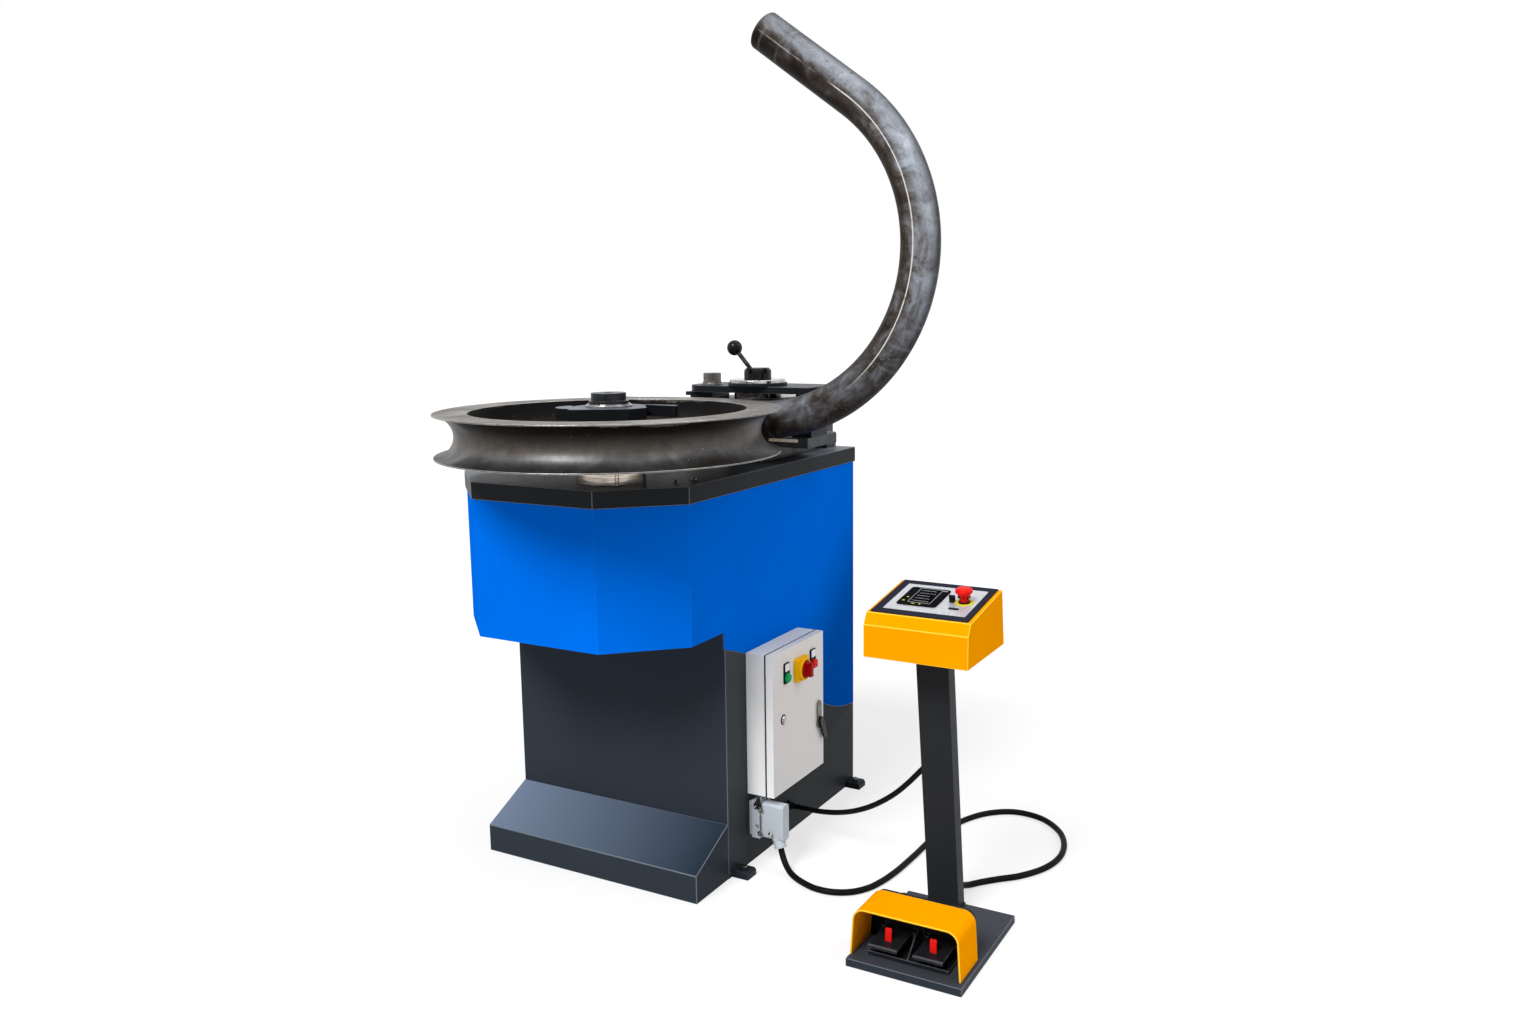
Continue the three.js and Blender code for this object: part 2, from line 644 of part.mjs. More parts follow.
function makeWasherAndNut() {
  const washerBottom = shaftTop - washer.thickness;
  const bore = spindle.radius + gap;
  const disc = ring(washer.radius, bore, washerBottom, shaftTop);
  piece('spindle_washer', movedTo(disc, spindleAt.x, spindleAt.y), finish.polished);
  const nutBottom = shaftTop + gap;
  const nutTop = nutBottom + nut.height;
  const studBore = spindle.studRadius + gap;
  const boreTop = studTop + gap;
  const body = turned([
    [studBore, nutBottom], [nut.skirtRadius, nutBottom],
    [nut.skirtRadius, nutBottom + nut.skirtHeight], [nut.radius, nutBottom + nut.skirtHeight],
    [nut.radius, nutTop], [0, nutTop], [0, boreTop], [studBore, boreTop], [studBore, nutBottom],
  ], roundSides);
  piece('spindle_nut', movedTo(body, spindleAt.x, spindleAt.y), finish.blackOxide);
}

// Involute gear outline round the origin with its first tooth on the +X axis
function gearShape(teeth, bore) {
  const pitchRadius = gears.module * teeth / 2;
  const baseRadius = pitchRadius * Math.cos(pressureAngle);
  const tipRadius = pitchRadius + gears.module - gears.module * gears.tipClearanceShare / 2;
  const rootRadius = pitchRadius - gears.module * (1 + gears.tipClearanceShare);
  const involute = (radius) => {
    const angle = Math.acos(Math.min(1, baseRadius / radius));
    return Math.tan(angle) - angle;
  };
  const halfTooth = Math.PI / (2 * teeth) - gears.backlash / (2 * pitchRadius) + involute(pitchRadius);
  const startRadius = Math.max(baseRadius, rootRadius);
  const points = [];
  for (let tooth = 0; tooth < teeth; tooth += 1) {
    const middle = 2 * Math.PI * tooth / teeth;
    const flank = [];
    for (let i = 0; i <= flankSteps; i += 1) {
      const radius = startRadius + (tipRadius - startRadius) * i / flankSteps;
      flank.push([radius, halfTooth - involute(radius)]);
    }
    points.push([rootRadius, middle - halfTooth]);
    for (const [radius, angle] of flank) points.push([radius, middle - angle]);
    for (const [radius, angle] of flank.reverse()) points.push([radius, middle + angle]);
    points.push([rootRadius, middle + halfTooth]);
  }
  const shape = outline(points.map(onCircle));
  if (bore > 0) shape.holes.push(new THREE.Path().absarc(0, 0, bore, 0, 2 * Math.PI, true));
  return shape;
}

const gearBottom = spindleBottom;
const gearTop = gearBottom + gears.width;
const centreDistance = gears.module * (driveTeeth + pinionTeeth) / 2;
const pinionAt = { x: spindleAt.x, y: spindleAt.y + centreDistance };
const gearboxBottom = gearTop + gearbox.gearClearance;
const gearboxFront = spindleAt.y + housing.tubeRadius + gearbox.tubeClearance;
const gearboxBack = pinionAt.y + gearbox.backReach;

function makeGears() {
  const wheel = prismZ(gearShape(driveTeeth, spindle.radius + gap), gearBottom, gearTop, roundSides / 2);
  const rimInner = gears.module * driveTeeth / 2 - driveWheel.rimWidth;
  const pocket = (gears.width - driveWheel.webThickness) / 2;
  const upper = ring(rimInner, driveWheel.hubRadius, gearTop - pocket, gearTop + overrun, smallSides);
  const lower = ring(rimInner, driveWheel.hubRadius, gearBottom - overrun, gearBottom + pocket, smallSides);
  const wheelBody = cut(wheel, upper, lower).rotate([0, 0, 90]);
  piece('drive_gear', movedTo(wheelBody, spindleAt.x, spindleAt.y), finish.rawSteel);

  // The pinion's tooth gap faces the wheel's first tooth
  const halfPitch = 180 / pinionTeeth;
  const small = prismZ(gearShape(pinionTeeth, 0), gearBottom, gearTop).rotate([0, 0, -90 + halfPitch]);
  const shaft = rod(pinionShaft.radius, gearBottom, gearBottom + pinionShaft.length, roundSides);
  piece('pinion', movedTo(join(small, shaft), pinionAt.x, pinionAt.y), finish.rawSteel);
}

function makeGearbox() {
  const half = gearbox.width / 2;
  const { chamfer } = gearbox;
  const x0 = pinionAt.x - half;
  const x1 = pinionAt.x + half;
  const shape = outline([
    [x0 + chamfer, gearboxFront], [x1 - chamfer, gearboxFront], [x1, gearboxFront + chamfer],
    [x1, gearboxBack], [x0, gearboxBack], [x0, gearboxFront + chamfer],
  ]);
  const bodyTop = headTop - gearbox.rib;
  const casing = prismZ(shape, gearboxBottom, bodyTop);
  const flange = block(x0 - chamfer, x1 + chamfer, gearboxFront, gearboxBack, bodyTop, headTop);
  const ribs = [];
  const pitch = (gearboxBack - gearboxFront - 2 * chamfer) / (ribCount - 1);
  for (let i = 0; i < ribCount; i += 1) {
    const y = gearboxFront + chamfer + i * pitch;
    ribs.push(block(x0 - gearbox.rib, x1 + gearbox.rib, y - gearbox.rib / 2, y + gearbox.rib / 2,
      gearboxBottom + gearbox.rib, bodyTop));
  }
  const boreTop = gearBottom + pinionShaft.length + gap;
  const bore = rod(pinionShaft.radius + runningGap, gearboxBottom - overrun, boreTop, roundSides);
  const body = cut(join(casing, flange, ...ribs), movedTo(bore, pinionAt.x, pinionAt.y));
  piece('gearbox', body, finish.castIron);
}

function makeMotor() {
  const start = gearboxBack + gap;
  const points = [];
  const core = motor.radius - motor.finDepth;
  const halfFin = Math.PI / (2 * finCount);
  for (let i = 0; i < finCount; i += 1) {
    const middle = 2 * Math.PI * i / finCount;
    points.push([core, middle - 3 * halfFin / 2], [core, middle - halfFin]);
    points.push([motor.radius, middle - halfFin / 2], [motor.radius, middle + halfFin / 2]);
  }
  const shell = prismZ(outline(points.map(onCircle)), motor.flange, motor.length);
  const flange = rod(motor.radius, 0, motor.flange + overrun, roundSides);
  const cap = turned([
    [0, motor.length - overrun], [core, motor.length - overrun],
    [core, motor.length + motor.capLength - motor.capInset],
    [core - motor.capInset, motor.length + motor.capLength], [0, motor.length + motor.capLength],
  ], roundSides);
  const axisHeight = headTop - motor.clearanceAbove - motor.radius;
  const body = join(shell, flange, cap);
  piece('motor', placed(body, at(pinionAt.x, start, axisHeight), axisY), finish.castIron);
}

// The pipe: a straight run past the former, a large upward bend and a straight tail
class PipeLine extends THREE.Curve {
  constructor() {
    super();
    this.run = bendStart - pipeStart;
    this.arc = bend.radius * bendAngle;
    this.total = this.run + this.arc + bend.tailLength;
  }

  getPoint(t, target = new THREE.Vector3()) {
    const s = t * this.total;
    if (s <= this.run) return target.set(pipeStart + s, pipeY, pipeHeight);
    const angle = Math.min(s - this.run, this.arc) / bend.radius;
    const beyond = Math.max(0, s - this.run - this.arc);
    return target.set(
      bendStart + bend.radius * Math.sin(angle) + beyond * Math.cos(angle),
      pipeY,
      pipeHeight + bend.radius * (1 - Math.cos(angle)) + beyond * Math.sin(angle),
    );
  }
}

function makePipe() {
  const line = new PipeLine();
  const sections = [0];
  const arcStart = line.run / line.total;
  const arcEnd = (line.run + line.arc) / line.total;
  for (let i = 0; i <= bendSteps; i += 1) sections.push(arcStart + (arcEnd - arcStart) * i / bendSteps);
  sections.push(1);
  const outer = sweptTube(line, sections, pipe.radius, 0);
  const inner = sweptTube(line, sections, pipe.radius - pipe.wall, overrun);
  piece('workpiece_pipe', cut(outer, inner), finish.rawSteel);
}

// A solid tube through chosen stations of the pipe's line, its ends moved out by a distance
function sweptTube(line, sections, radius, endReach) {
  const rings = sections.map((t, index) => {
    const centre = line.getPoint(t);
    const heading = index === 0 || index === sections.length - 1
      ? endHeading(index === 0) : tangentAt(line, t);
    if (index === 0) centre.addScaledVector(heading, -endReach);
    if (index === sections.length - 1) centre.addScaledVector(heading, endReach);
    const side = new THREE.Vector3().crossVectors(heading, axisY).normalize();
    return { centre, side };
  });
  const place = [];
  for (const { centre, side } of rings) {
    for (let k = 0; k < pipeSides; k += 1) {
      const angle = 2 * Math.PI * k / pipeSides;
      const point = centre.clone()
        .addScaledVector(axisY, radius * Math.cos(angle)).addScaledVector(side, radius * Math.sin(angle));
      place.push(point.x, point.y, point.z);
    }
  }
  const faces = [];
  for (let i = 0; i < rings.length - 1; i += 1) {
    for (let k = 0; k < pipeSides; k += 1) {
      const next = (k + 1) % pipeSides;
      const [a, b] = [i * pipeSides + k, i * pipeSides + next];
      const [c, d] = [a + pipeSides, b + pipeSides];
      faces.push(a, c, b, b, c, d);
    }
  }
  const lastRing = (rings.length - 1) * pipeSides;
  for (let k = 1; k < pipeSides - 1; k += 1) {
    faces.push(0, k, k + 1);
    faces.push(lastRing, lastRing + k + 1, lastRing + k);
  }
  const geometry = new THREE.BufferGeometry();
  geometry.setAttribute('position', new THREE.BufferAttribute(Float32Array.from(place), 3));
  geometry.setIndex(faces);
  return toSolid(geometry);

  function endHeading(first) {
    return first ? axisX.clone() : at(Math.cos(bendAngle), 0, Math.sin(bendAngle));
  }
}

function tangentAt(line, t) {
  const arcStart = line.run / line.total;
  const angle = Math.max(0, Math.min(bendAngle, (t - arcStart) * line.total / bend.radius));
  return at(Math.cos(angle), 0, Math.sin(angle));
}

// Slide way with the window below its rear end
const wayBottom = table.top + gap;
const wayTop = rollerBottom - roller.bossDrop - gap - carriage.thickness - gap;
const wayLeft = rollerAt.x - way.width / 2;
const wayRight = rollerAt.x + way.width / 2;

function makeWay() {
  const windowBack = columnY - way.windowInset;
  const bar = block(wayLeft, wayRight, rollerAt.y - way.frontReach, columnY, wayBottom, wayTop);
  const window = block(wayLeft - overrun, wayRight + overrun, windowBack - way.windowLength, windowBack,
    wayBottom - overrun, wayBottom + way.windowHeight);
  piece('slide_way', cut(bar, window), finish.castIron);
}

// Carriage that straddles the way and carries both posts
const carriageBottom = wayTop + gap;
const carriageTop = carriageBottom + carriage.thickness;
const leftPostX = rollerAt.x - rollerRadius - leftPost.rollerGap - leftPost.width;
const carriageLeft = leftPostX - leftPost.inset;
const carriageRight = rollerAt.x + rollerRadius + rightPost.rollerGap + rightPost.width;
const carriageFront = rollerAt.y - carriage.frontReach;
const carriageBack = rollerAt.y + carriage.backReach;
const thrustHeight = carriageBottom + thrust.clearanceBelow + thrust.radius;

function makeCarriage() {
  const left = carriageLeft;
  const right = carriageRight;
  const { cornerCut } = carriage;
  const plate = prismZ(outline([
    [left, carriageFront], [right, carriageFront],
    [right, carriageBack - cornerCut], [right - cornerCut, carriageBack],
    [left + cornerCut, carriageBack], [left, carriageBack - cornerCut],
  ]), carriageBottom, carriageTop);
  const guides = [wayLeft - gap - carriage.guideWidth, wayRight + gap].map((x) => block(
    x, x + carriage.guideWidth, carriageFront, carriageBack,
    carriageBottom - carriage.guideDrop, carriageBottom + overrun));
  const pinSocket = rod(
    pin.radius + gap, carriageTop - carriage.pinSocketDepth, carriageTop + overrun, roundSides);
  const screwBore = placed(rod(thrust.radius + runningGap, 0, carriageBack + overrun - carriageFront),
    at(rollerAt.x, carriageFront + carriage.guideWidth, thrustHeight), axisY);
  const body = cut(join(plate, ...guides), movedTo(pinSocket, rollerAt.x, rollerAt.y), screwBore);
  piece('carriage_base', body, finish.castIron);
}

// Posts between the carriage and the bridge plate
const pillarBottom = carriageTop + gap;
const bridgeBottom = rollerTop + bridge.rise;
const pillarTop = bridgeBottom - gap;
const boltDepth = bridgeBottom - bridgeBolt.depth;
const boltAt = { x: leftPostX + bridgeBolt.postInset, y: rollerAt.y + bridgeBolt.shiftY };

function makePosts() {
  const front = rollerAt.y - leftPost.frontReach;
  const back = rollerAt.y + leftPost.backReach;
  const webRight = leftPostX + leftPost.width;
  const web = block(leftPostX, webRight, front, back, pillarBottom, pillarTop);
  const cap = block(webRight - leftPost.capWidth, webRight, front, back,
    pillarTop - leftPost.capHeight, pillarTop);
  const hole = rod(bridgeBolt.shankRadius + runningGap, boltDepth - gap, pillarTop + overrun);
  const body = cut(join(web, cap), movedTo(hole, boltAt.x, boltAt.y));
  piece('bridge_post_left', body, finish.blackSteel);

  const right = carriageRight;
  const inside = right - rightPost.width;
  const foot = rightPost.footReach;
  const footTop = pillarBottom + rightPost.footHeight;
  const profile = outline([
    [right, pillarBottom], [right, pillarTop], [inside, pillarTop], [inside, footTop],
    [inside - foot, footTop - foot], [inside - foot, pillarBottom],
  ]);
  const post = prismY(profile, rollerAt.y - rightPost.frontReach, rollerAt.y + rightPost.backReach);
  piece('bridge_post_right', post, finish.blackSteel);
}

const bridgeTop = bridgeBottom + bridge.thickness;
const bridgeMiddle = (bridgeBottom + bridgeTop) / 2;

// Rectangle with larger corners on the left, seen from above
function bridgeOutline(left, right) {
  const { leftRadius, rightRadius } = bridge;
  const front = rollerAt.y - bridge.frontReach;
  const back = rollerAt.y + bridge.backReach;
  const shape = new THREE.Shape();
  shape.moveTo(left + leftRadius, front);
  shape.lineTo(right - rightRadius, front);
  shape.absarc(right - rightRadius, front + rightRadius, rightRadius, -Math.PI / 2, 0);
  shape.lineTo(right, back - rightRadius);
  shape.absarc(right - rightRadius, back - rightRadius, rightRadius, 0, Math.PI / 2);
  shape.lineTo(left + leftRadius, back);
  shape.absarc(left + leftRadius, back - leftRadius, leftRadius, Math.PI / 2, Math.PI);
  shape.lineTo(left, front + leftRadius);
  shape.absarc(left + leftRadius, front + leftRadius, leftRadius, Math.PI, Math.PI * 3 / 2);
  return shape;
}

function makeBridge() {
  const [low, high] = [bridgeBottom - overrun, bridgeTop + overrun];
  const plate = prismZ(bridgeOutline(carriageLeft, carriageRight), bridgeBottom, bridgeTop);
  const pinHole = movedTo(rod(pin.radius + gap, low, high, roundSides), rollerAt.x, rollerAt.y);
  const boltHole = movedTo(rod(bridgeBolt.shankRadius + runningGap, low, high), boltAt.x, boltAt.y);
  const screwHole = placed(rod(sideScrew.radius + runningGap, 0, sideScrew.insert + gap + overrun),
    at(carriageRight - sideScrew.insert - gap, rollerAt.y, bridgeMiddle), axisX);
  piece('bridge_plate', cut(plate, pinHole, boltHole, screwHole), finish.blackSteel);
}

function makeRoller() {
  const bore = pin.radius + runningGap;
  const profile = [
    [bore, carriageTop + gap], [roller.bossRadius, carriageTop + gap], [roller.bossRadius, rollerBottom],
    [rollerRadius, rollerBottom],
    ...groovePoints(roller.pitchRadius, rollerRadius, pipeHeight),
    [rollerRadius, rollerTop], [roller.bossRadius, rollerTop],
    [roller.bossRadius, bridgeBottom - gap], [bore, bridgeBottom - gap],
  ];
  piece('counter_roller', movedTo(turned(profile, roundSides), rollerAt.x, rollerAt.y), finish.polished);
}

const pinTop = bridgeTop + gap + pin.flangeHeight + pin.discHeight;

function makePin() {
  const flangeBottom = bridgeTop + gap;
  const discBottom = flangeBottom + pin.flangeHeight;
  const pinBottom = carriageTop - carriage.pinSocketDepth + gap;
  const body = turned([
    [0, pinBottom], [pin.radius, pinBottom], [pin.radius, flangeBottom],
    [pin.flangeRadius, flangeBottom], [pin.flangeRadius, discBottom - pin.bevel],
    [pin.flangeRadius - pin.bevel, discBottom], [pin.discRadius, discBottom],
    [pin.discRadius, pinTop - pin.bevel], [pin.discRadius - pin.bevel, pinTop], [0, pinTop],
  ], roundSides);
  piece('roller_pin', movedTo(body, rollerAt.x, rollerAt.y), finish.polished);
}

function makeLever() {
  const bottom = pinTop + gap;
  const top = bottom + leverHub.height;
  let hub = turned([
    [0, bottom], [leverHub.radius, bottom], [leverHub.radius, top - leverHub.bevel],
    [leverHub.radius - leverHub.bevel, top], [0, top],
  ], roundSides);
  for (let i = 0; i < hubNotches; i += 1) {
    const notch = block(leverHub.radius - leverHub.notchDepth, leverHub.radius + overrun,
      -leverHub.notchWidth / 2, leverHub.notchWidth / 2, top - leverHub.height / 2, top + overrun);
    hub = cut(hub, notch.rotate([0, 0, 360 * (i + 1 / 2) / hubNotches]));
  }
  const start = at(-lever.startOut, 0, bottom + lever.startUp);
  const ball = at(-lever.reachX, 0, bottom + lever.rise);
  const along = ball.clone().sub(start);
  const rodLength = along.length() - lever.ballRadius + lever.rodInBall;
  const handle = placed(rod(lever.rodRadius, 0, rodLength, smallSides / 2), start, along);
  piece('clamp_lever', movedTo(join(hub, handle), rollerAt.x, rollerAt.y), finish.blackOxide);

  const sphere = new THREE.SphereGeometry(lever.ballRadius, ballSides, ballSides / 2);
  let knob = toSolid(sphere).translate(ball.toArray());
  knob = cut(knob, placed(rod(lever.rodRadius + gap, 0, rodLength + gap, smallSides / 2), start, along));
  piece('lever_ball', movedTo(knob, rollerAt.x, rollerAt.y), finish.blackPlastic);
}

function makeBridgeBolt() {
  const washerBottom = bridgeTop + gap;
  const headBottom = washerBottom + bridgeBolt.washerHeight;
  const hexHead = rod(bridgeBolt.headRadius, headBottom, headBottom + bridgeBolt.headHeight, hexSides);
  const washerRing = rod(bridgeBolt.washerRadius, washerBottom, headBottom + gap, roundSides / 2);
  const shank = rod(bridgeBolt.shankRadius, boltDepth, headBottom);
  const body = join(shank, washerRing, hexHead);
  piece('bridge_bolt', movedTo(body, boltAt.x, boltAt.y), finish.blackOxide);
}

function makeSideScrew() {
  const { radius, knobRadius, bevel, noseBevel } = sideScrew;
  const length = sideScrew.insert + sideScrew.reach;
  const knobTop = length + sideScrew.knobLength;
  const body = turned([
    [0, 0], [radius, 0], [radius, length], [knobRadius - bevel, length], [knobRadius, length + bevel],
    [knobRadius, knobTop - noseBevel], [knobRadius - noseBevel, knobTop], [0, knobTop],
  ], smallSides);
  const start = at(carriageRight - sideScrew.insert, rollerAt.y, bridgeMiddle);
  piece('side_screw', placed(body, start, axisX), finish.blackOxide);
}

function makeThrustScrew() {
  const blockBack = columnY;
  const blockFront = blockBack - screwBlock.length;
  const bottom = wayTop + gap;
  const top = bottom + screwBlock.height;
  const half = screwBlock.width / 2;
  const { bevel } = screwBlock;
  const shape = outline([
    [rollerAt.x - half, bottom], [rollerAt.x + half, bottom], [rollerAt.x + half, top - bevel],
    [rollerAt.x + half - bevel, top], [rollerAt.x - half + bevel, top], [rollerAt.x - half, top - bevel],
  ]);
  const bore = placed(rod(thrust.radius + runningGap, 0, screwBlock.length + 2 * overrun),
    at(rollerAt.x, blockFront - overrun, thrustHeight), axisY);
  piece('screw_block', cut(prismY(shape, blockFront, blockBack), bore), finish.castIron);

  const front = rollerAt.y + thrust.frontReach;
  const length = blockBack - front;
  const screw = rod(thrust.radius, 0, length + gap);
  const frontStop = length - screwBlock.length - gap;
  const rearStop = length + gap + thrust.collarLength;
  const frontCollar = rod(thrust.collarRadius, frontStop - thrust.collarLength, frontStop);
  const rearCollar = rod(thrust.collarRadius, length + gap, rearStop);
  const hex = rod(thrust.hexRadius, length + gap, rearStop + thrust.hexLength, hexSides);
  const body = join(screw, frontCollar, rearCollar, hex);
  const start = at(rollerAt.x, front, thrustHeight);
  piece('thrust_screw', placed(body, start, axisY), finish.rawSteel);
}

// Enclosure: an open box on the column's side with a sealing lip, and a tray-shaped door
const boxBack = columnX + gap;
const boxFront = boxBack + enclosure.depth;
const boxLeft = -columnY + enclosure.frontInset;
const boxRight = boxLeft + enclosure.width;
const boxTop = enclosure.bottom + enclosure.height;
const doorBack = boxFront + door.gapToBody;
const doorFront = doorBack + door.thickness;
const buttonHeight = boxTop - doorRow.buttonDrop;
const handleTop = boxTop - doorHandle.drop;
const keyHeight = handleTop - doorKey.drop;

function makeEnclosureBody() {
  const { wall, rimWidth, lipReach, lipWall } = enclosure;
  const outer = block(boxBack, boxFront, boxLeft, boxRight, enclosure.bottom, boxTop);
  const inner = block(boxBack + wall, boxFront - wall, boxLeft + wall, boxRight - wall,
    enclosure.bottom + wall, boxTop - wall);
  const mouth = block(boxFront - wall - overrun, boxFront + lipReach + overrun,
    boxLeft + rimWidth, boxRight - rimWidth, enclosure.bottom + rimWidth, boxTop - rimWidth);
  const lipInset = rimWidth - lipWall;
  const lip = block(boxFront - wall, boxFront + lipReach, boxLeft + lipInset, boxRight - lipInset,
    enclosure.bottom + lipInset, boxTop - lipInset);
  const body = cut(join(cut(outer, inner), lip), mouth);
  piece('enclosure_body', body, finish.greyPaint);
}

function makeEnclosureDoor() {
  const outer = block(doorBack, doorFront, boxLeft, boxRight, enclosure.bottom, boxTop);
  const inner = block(doorBack - overrun, doorFront - door.wall, boxLeft + door.wall, boxRight - door.wall,
    enclosure.bottom + door.wall, boxTop - door.wall);
  const holes = [];
  const through = (radius, share, height) => {
    const start = at(doorFront - door.wall - overrun, boxLeft + share * enclosure.width, height);
    holes.push(placed(rod(radius, 0, door.wall + 2 * overrun), start, axisX));
  };
  through(pushButton.stemRadius + runningGap, doorRow.startShare, buttonHeight);
  through(pushButton.stemRadius + runningGap, doorRow.stopShare, buttonHeight);
  through(switchHandle.shaftRadius + runningGap, doorRow.switchShare, boxTop - doorRow.switchDrop);
  through(doorPlug.stemRadius + gap, doorPlug.acrossShare, boxTop - doorPlug.drop);
  through(doorKey.radius + runningGap, doorHandle.acrossShare, keyHeight);
  piece('enclosure_door', cut(outer, inner, ...holes), finish.greyPaint);

  const { radius, endInset } = doorHinge;
  const hinge = rod(radius, enclosure.bottom + endInset, boxTop - endInset, smallSides / 2);
  piece('door_hinge_pin', movedTo(hinge, (boxFront + doorBack) / 2, boxLeft), finish.castIron);
}

function makeDoorFittings() {
  const onDoor = (share, height) => at(doorFront, boxLeft + share * enclosure.width, height);
  for (const [name, share, look] of [
    ['start_button', doorRow.startShare, finish.green], ['stop_button', doorRow.stopShare, finish.red],
  ]) {
    const { stemRadius, stemLength, capRadius, capBevel, lift } = pushButton;
    const capTop = lift + pushButton.capLength;
    const body = turned([
      [0, -stemLength], [stemRadius, -stemLength], [stemRadius, lift], [capRadius, lift],
      [capRadius, capTop - capBevel], [capRadius - capBevel, capTop], [0, capTop],
    ], smallSides);
    piece(name, placed(body, onDoor(share, buttonHeight), axisX), look);
  }

  const { y, z } = onDoor(doorRow.switchShare, boxTop - doorRow.switchDrop);
  const half = switchPlate.side / 2;
  const plateBack = doorFront + gap;
  const plateFront = plateBack + switchPlate.thickness;
  const square = roundedRectangle(y - half, y + half, z - half, z + half, switchPlate.cornerRadius);
  const bore = placed(rod(switchHandle.shaftRadius + runningGap, 0, switchPlate.thickness + 2 * overrun),
    at(plateBack - overrun, y, z), axisX);
  piece('main_switch_plate', cut(prismX(square, plateBack, plateFront), bore), finish.yellow);

  const { shaftRadius, shaftDepth, taper, gripReach } = switchHandle;
  const discBottom = switchPlate.thickness + 2 * gap;
  const discTop = discBottom + switchHandle.discLength;
  const disc = turned([
    [0, -shaftDepth], [shaftRadius, -shaftDepth], [shaftRadius, discBottom],
    [switchHandle.radius, discBottom], [switchHandle.radius - taper, discTop], [0, discTop],
  ], smallSides);
  const gripHalf = switchHandle.gripWidth / 2;
  const grip = block(-gripReach, gripReach, -gripHalf, gripHalf,
    discTop - overrun, discTop + switchHandle.gripLength);
  piece('main_switch_handle', placed(join(disc, grip), at(doorFront, y, z), axisX), finish.red);

  const plug = turned([
    [0, -doorPlug.stemLength], [doorPlug.stemRadius, -doorPlug.stemLength], [doorPlug.stemRadius, gap],
    [doorPlug.headRadius, gap], [doorPlug.headRadius, doorPlug.rimLength],
    [doorPlug.faceRadius, doorPlug.headLength], [0, doorPlug.headLength],
  ], smallSides);
  const plugAt = onDoor(doorPlug.acrossShare, boxTop - doorPlug.drop);
  piece('door_plug', placed(plug, plugAt, axisX), finish.polished);

  const keyAt = onDoor(doorHandle.acrossShare, keyHeight);
  const handleY = keyAt.y;
  const plateShape = roundedRectangle(handleY - doorHandle.width / 2, handleY + doorHandle.width / 2,
    handleTop - doorHandle.length, handleTop, doorHandle.width / 2 - gap);
  const keyBore = placed(rod(doorKey.radius + runningGap, 0, doorHandle.thickness + 2 * overrun),
    at(doorFront - overrun, handleY, keyHeight), axisX);
  const handle = prismX(plateShape, doorFront + gap, doorFront + gap + doorHandle.thickness);
  piece('door_handle', cut(handle, keyBore), finish.polished);

  const bladeBottom = doorHandle.thickness + 2 * gap;
  const stem = rod(doorKey.radius, -doorKey.depth, bladeBottom + doorKey.thickness);
  const blade = prismZ(keyShape(), bladeBottom, bladeBottom + doorKey.thickness).rotate([0, 0, keyTilt]);
  piece('door_key', placed(join(stem, blade), keyAt, axisX), finish.blackOxide);
}

// Key: a round bow on the lock's axis and a tapered grip; placed() turns local X to point down
function keyShape() {
  const { bowRadius, bladeLength, bladeWidth } = doorKey;
  const shape = new THREE.Shape();
  shape.moveTo(0, bowRadius);
  shape.absarc(0, 0, bowRadius, Math.PI / 2, Math.PI * 3 / 2);
  shape.lineTo(bladeLength - bladeWidth / 2, -bladeWidth);
  shape.absarc(bladeLength - bladeWidth / 2, 0, bladeWidth, -Math.PI / 2, Math.PI / 2);
  return shape;
}

// Connector: socket housing on the column, hood with its angled ribbed gland, and a locking bail
const socketBack = columnX + gap;
const socketFront = socketBack + socket.depth;
const socketLeft = boxLeft + socket.frontInset;
const socketRight = socketLeft + socket.width;
const socketTop = enclosure.bottom - socket.drop;
const socketBottom = socketTop - socket.height;
const bailX = socketFront - bail.pivotSetback;
const bailHeight = socketTop - bail.pivotDrop;
const hoodBack = socketFront + socket.sealLength + gap;
const hoodFront = hoodBack + hood.length;
const glandDirection = at(Math.cos(glandTurn), Math.sin(glandTurn), 0)
  .multiplyScalar(Math.sin(glandTilt)).addScaledVector(axisZ, -Math.cos(glandTilt));
const glandStart = at(
  (hoodBack + hoodFront) / 2 + hood.glandOffset, (socketLeft + socketRight) / 2, socketBottom + hood.inset);
const glandEnd = glandStart.clone().addScaledVector(glandDirection, hood.glandLength);

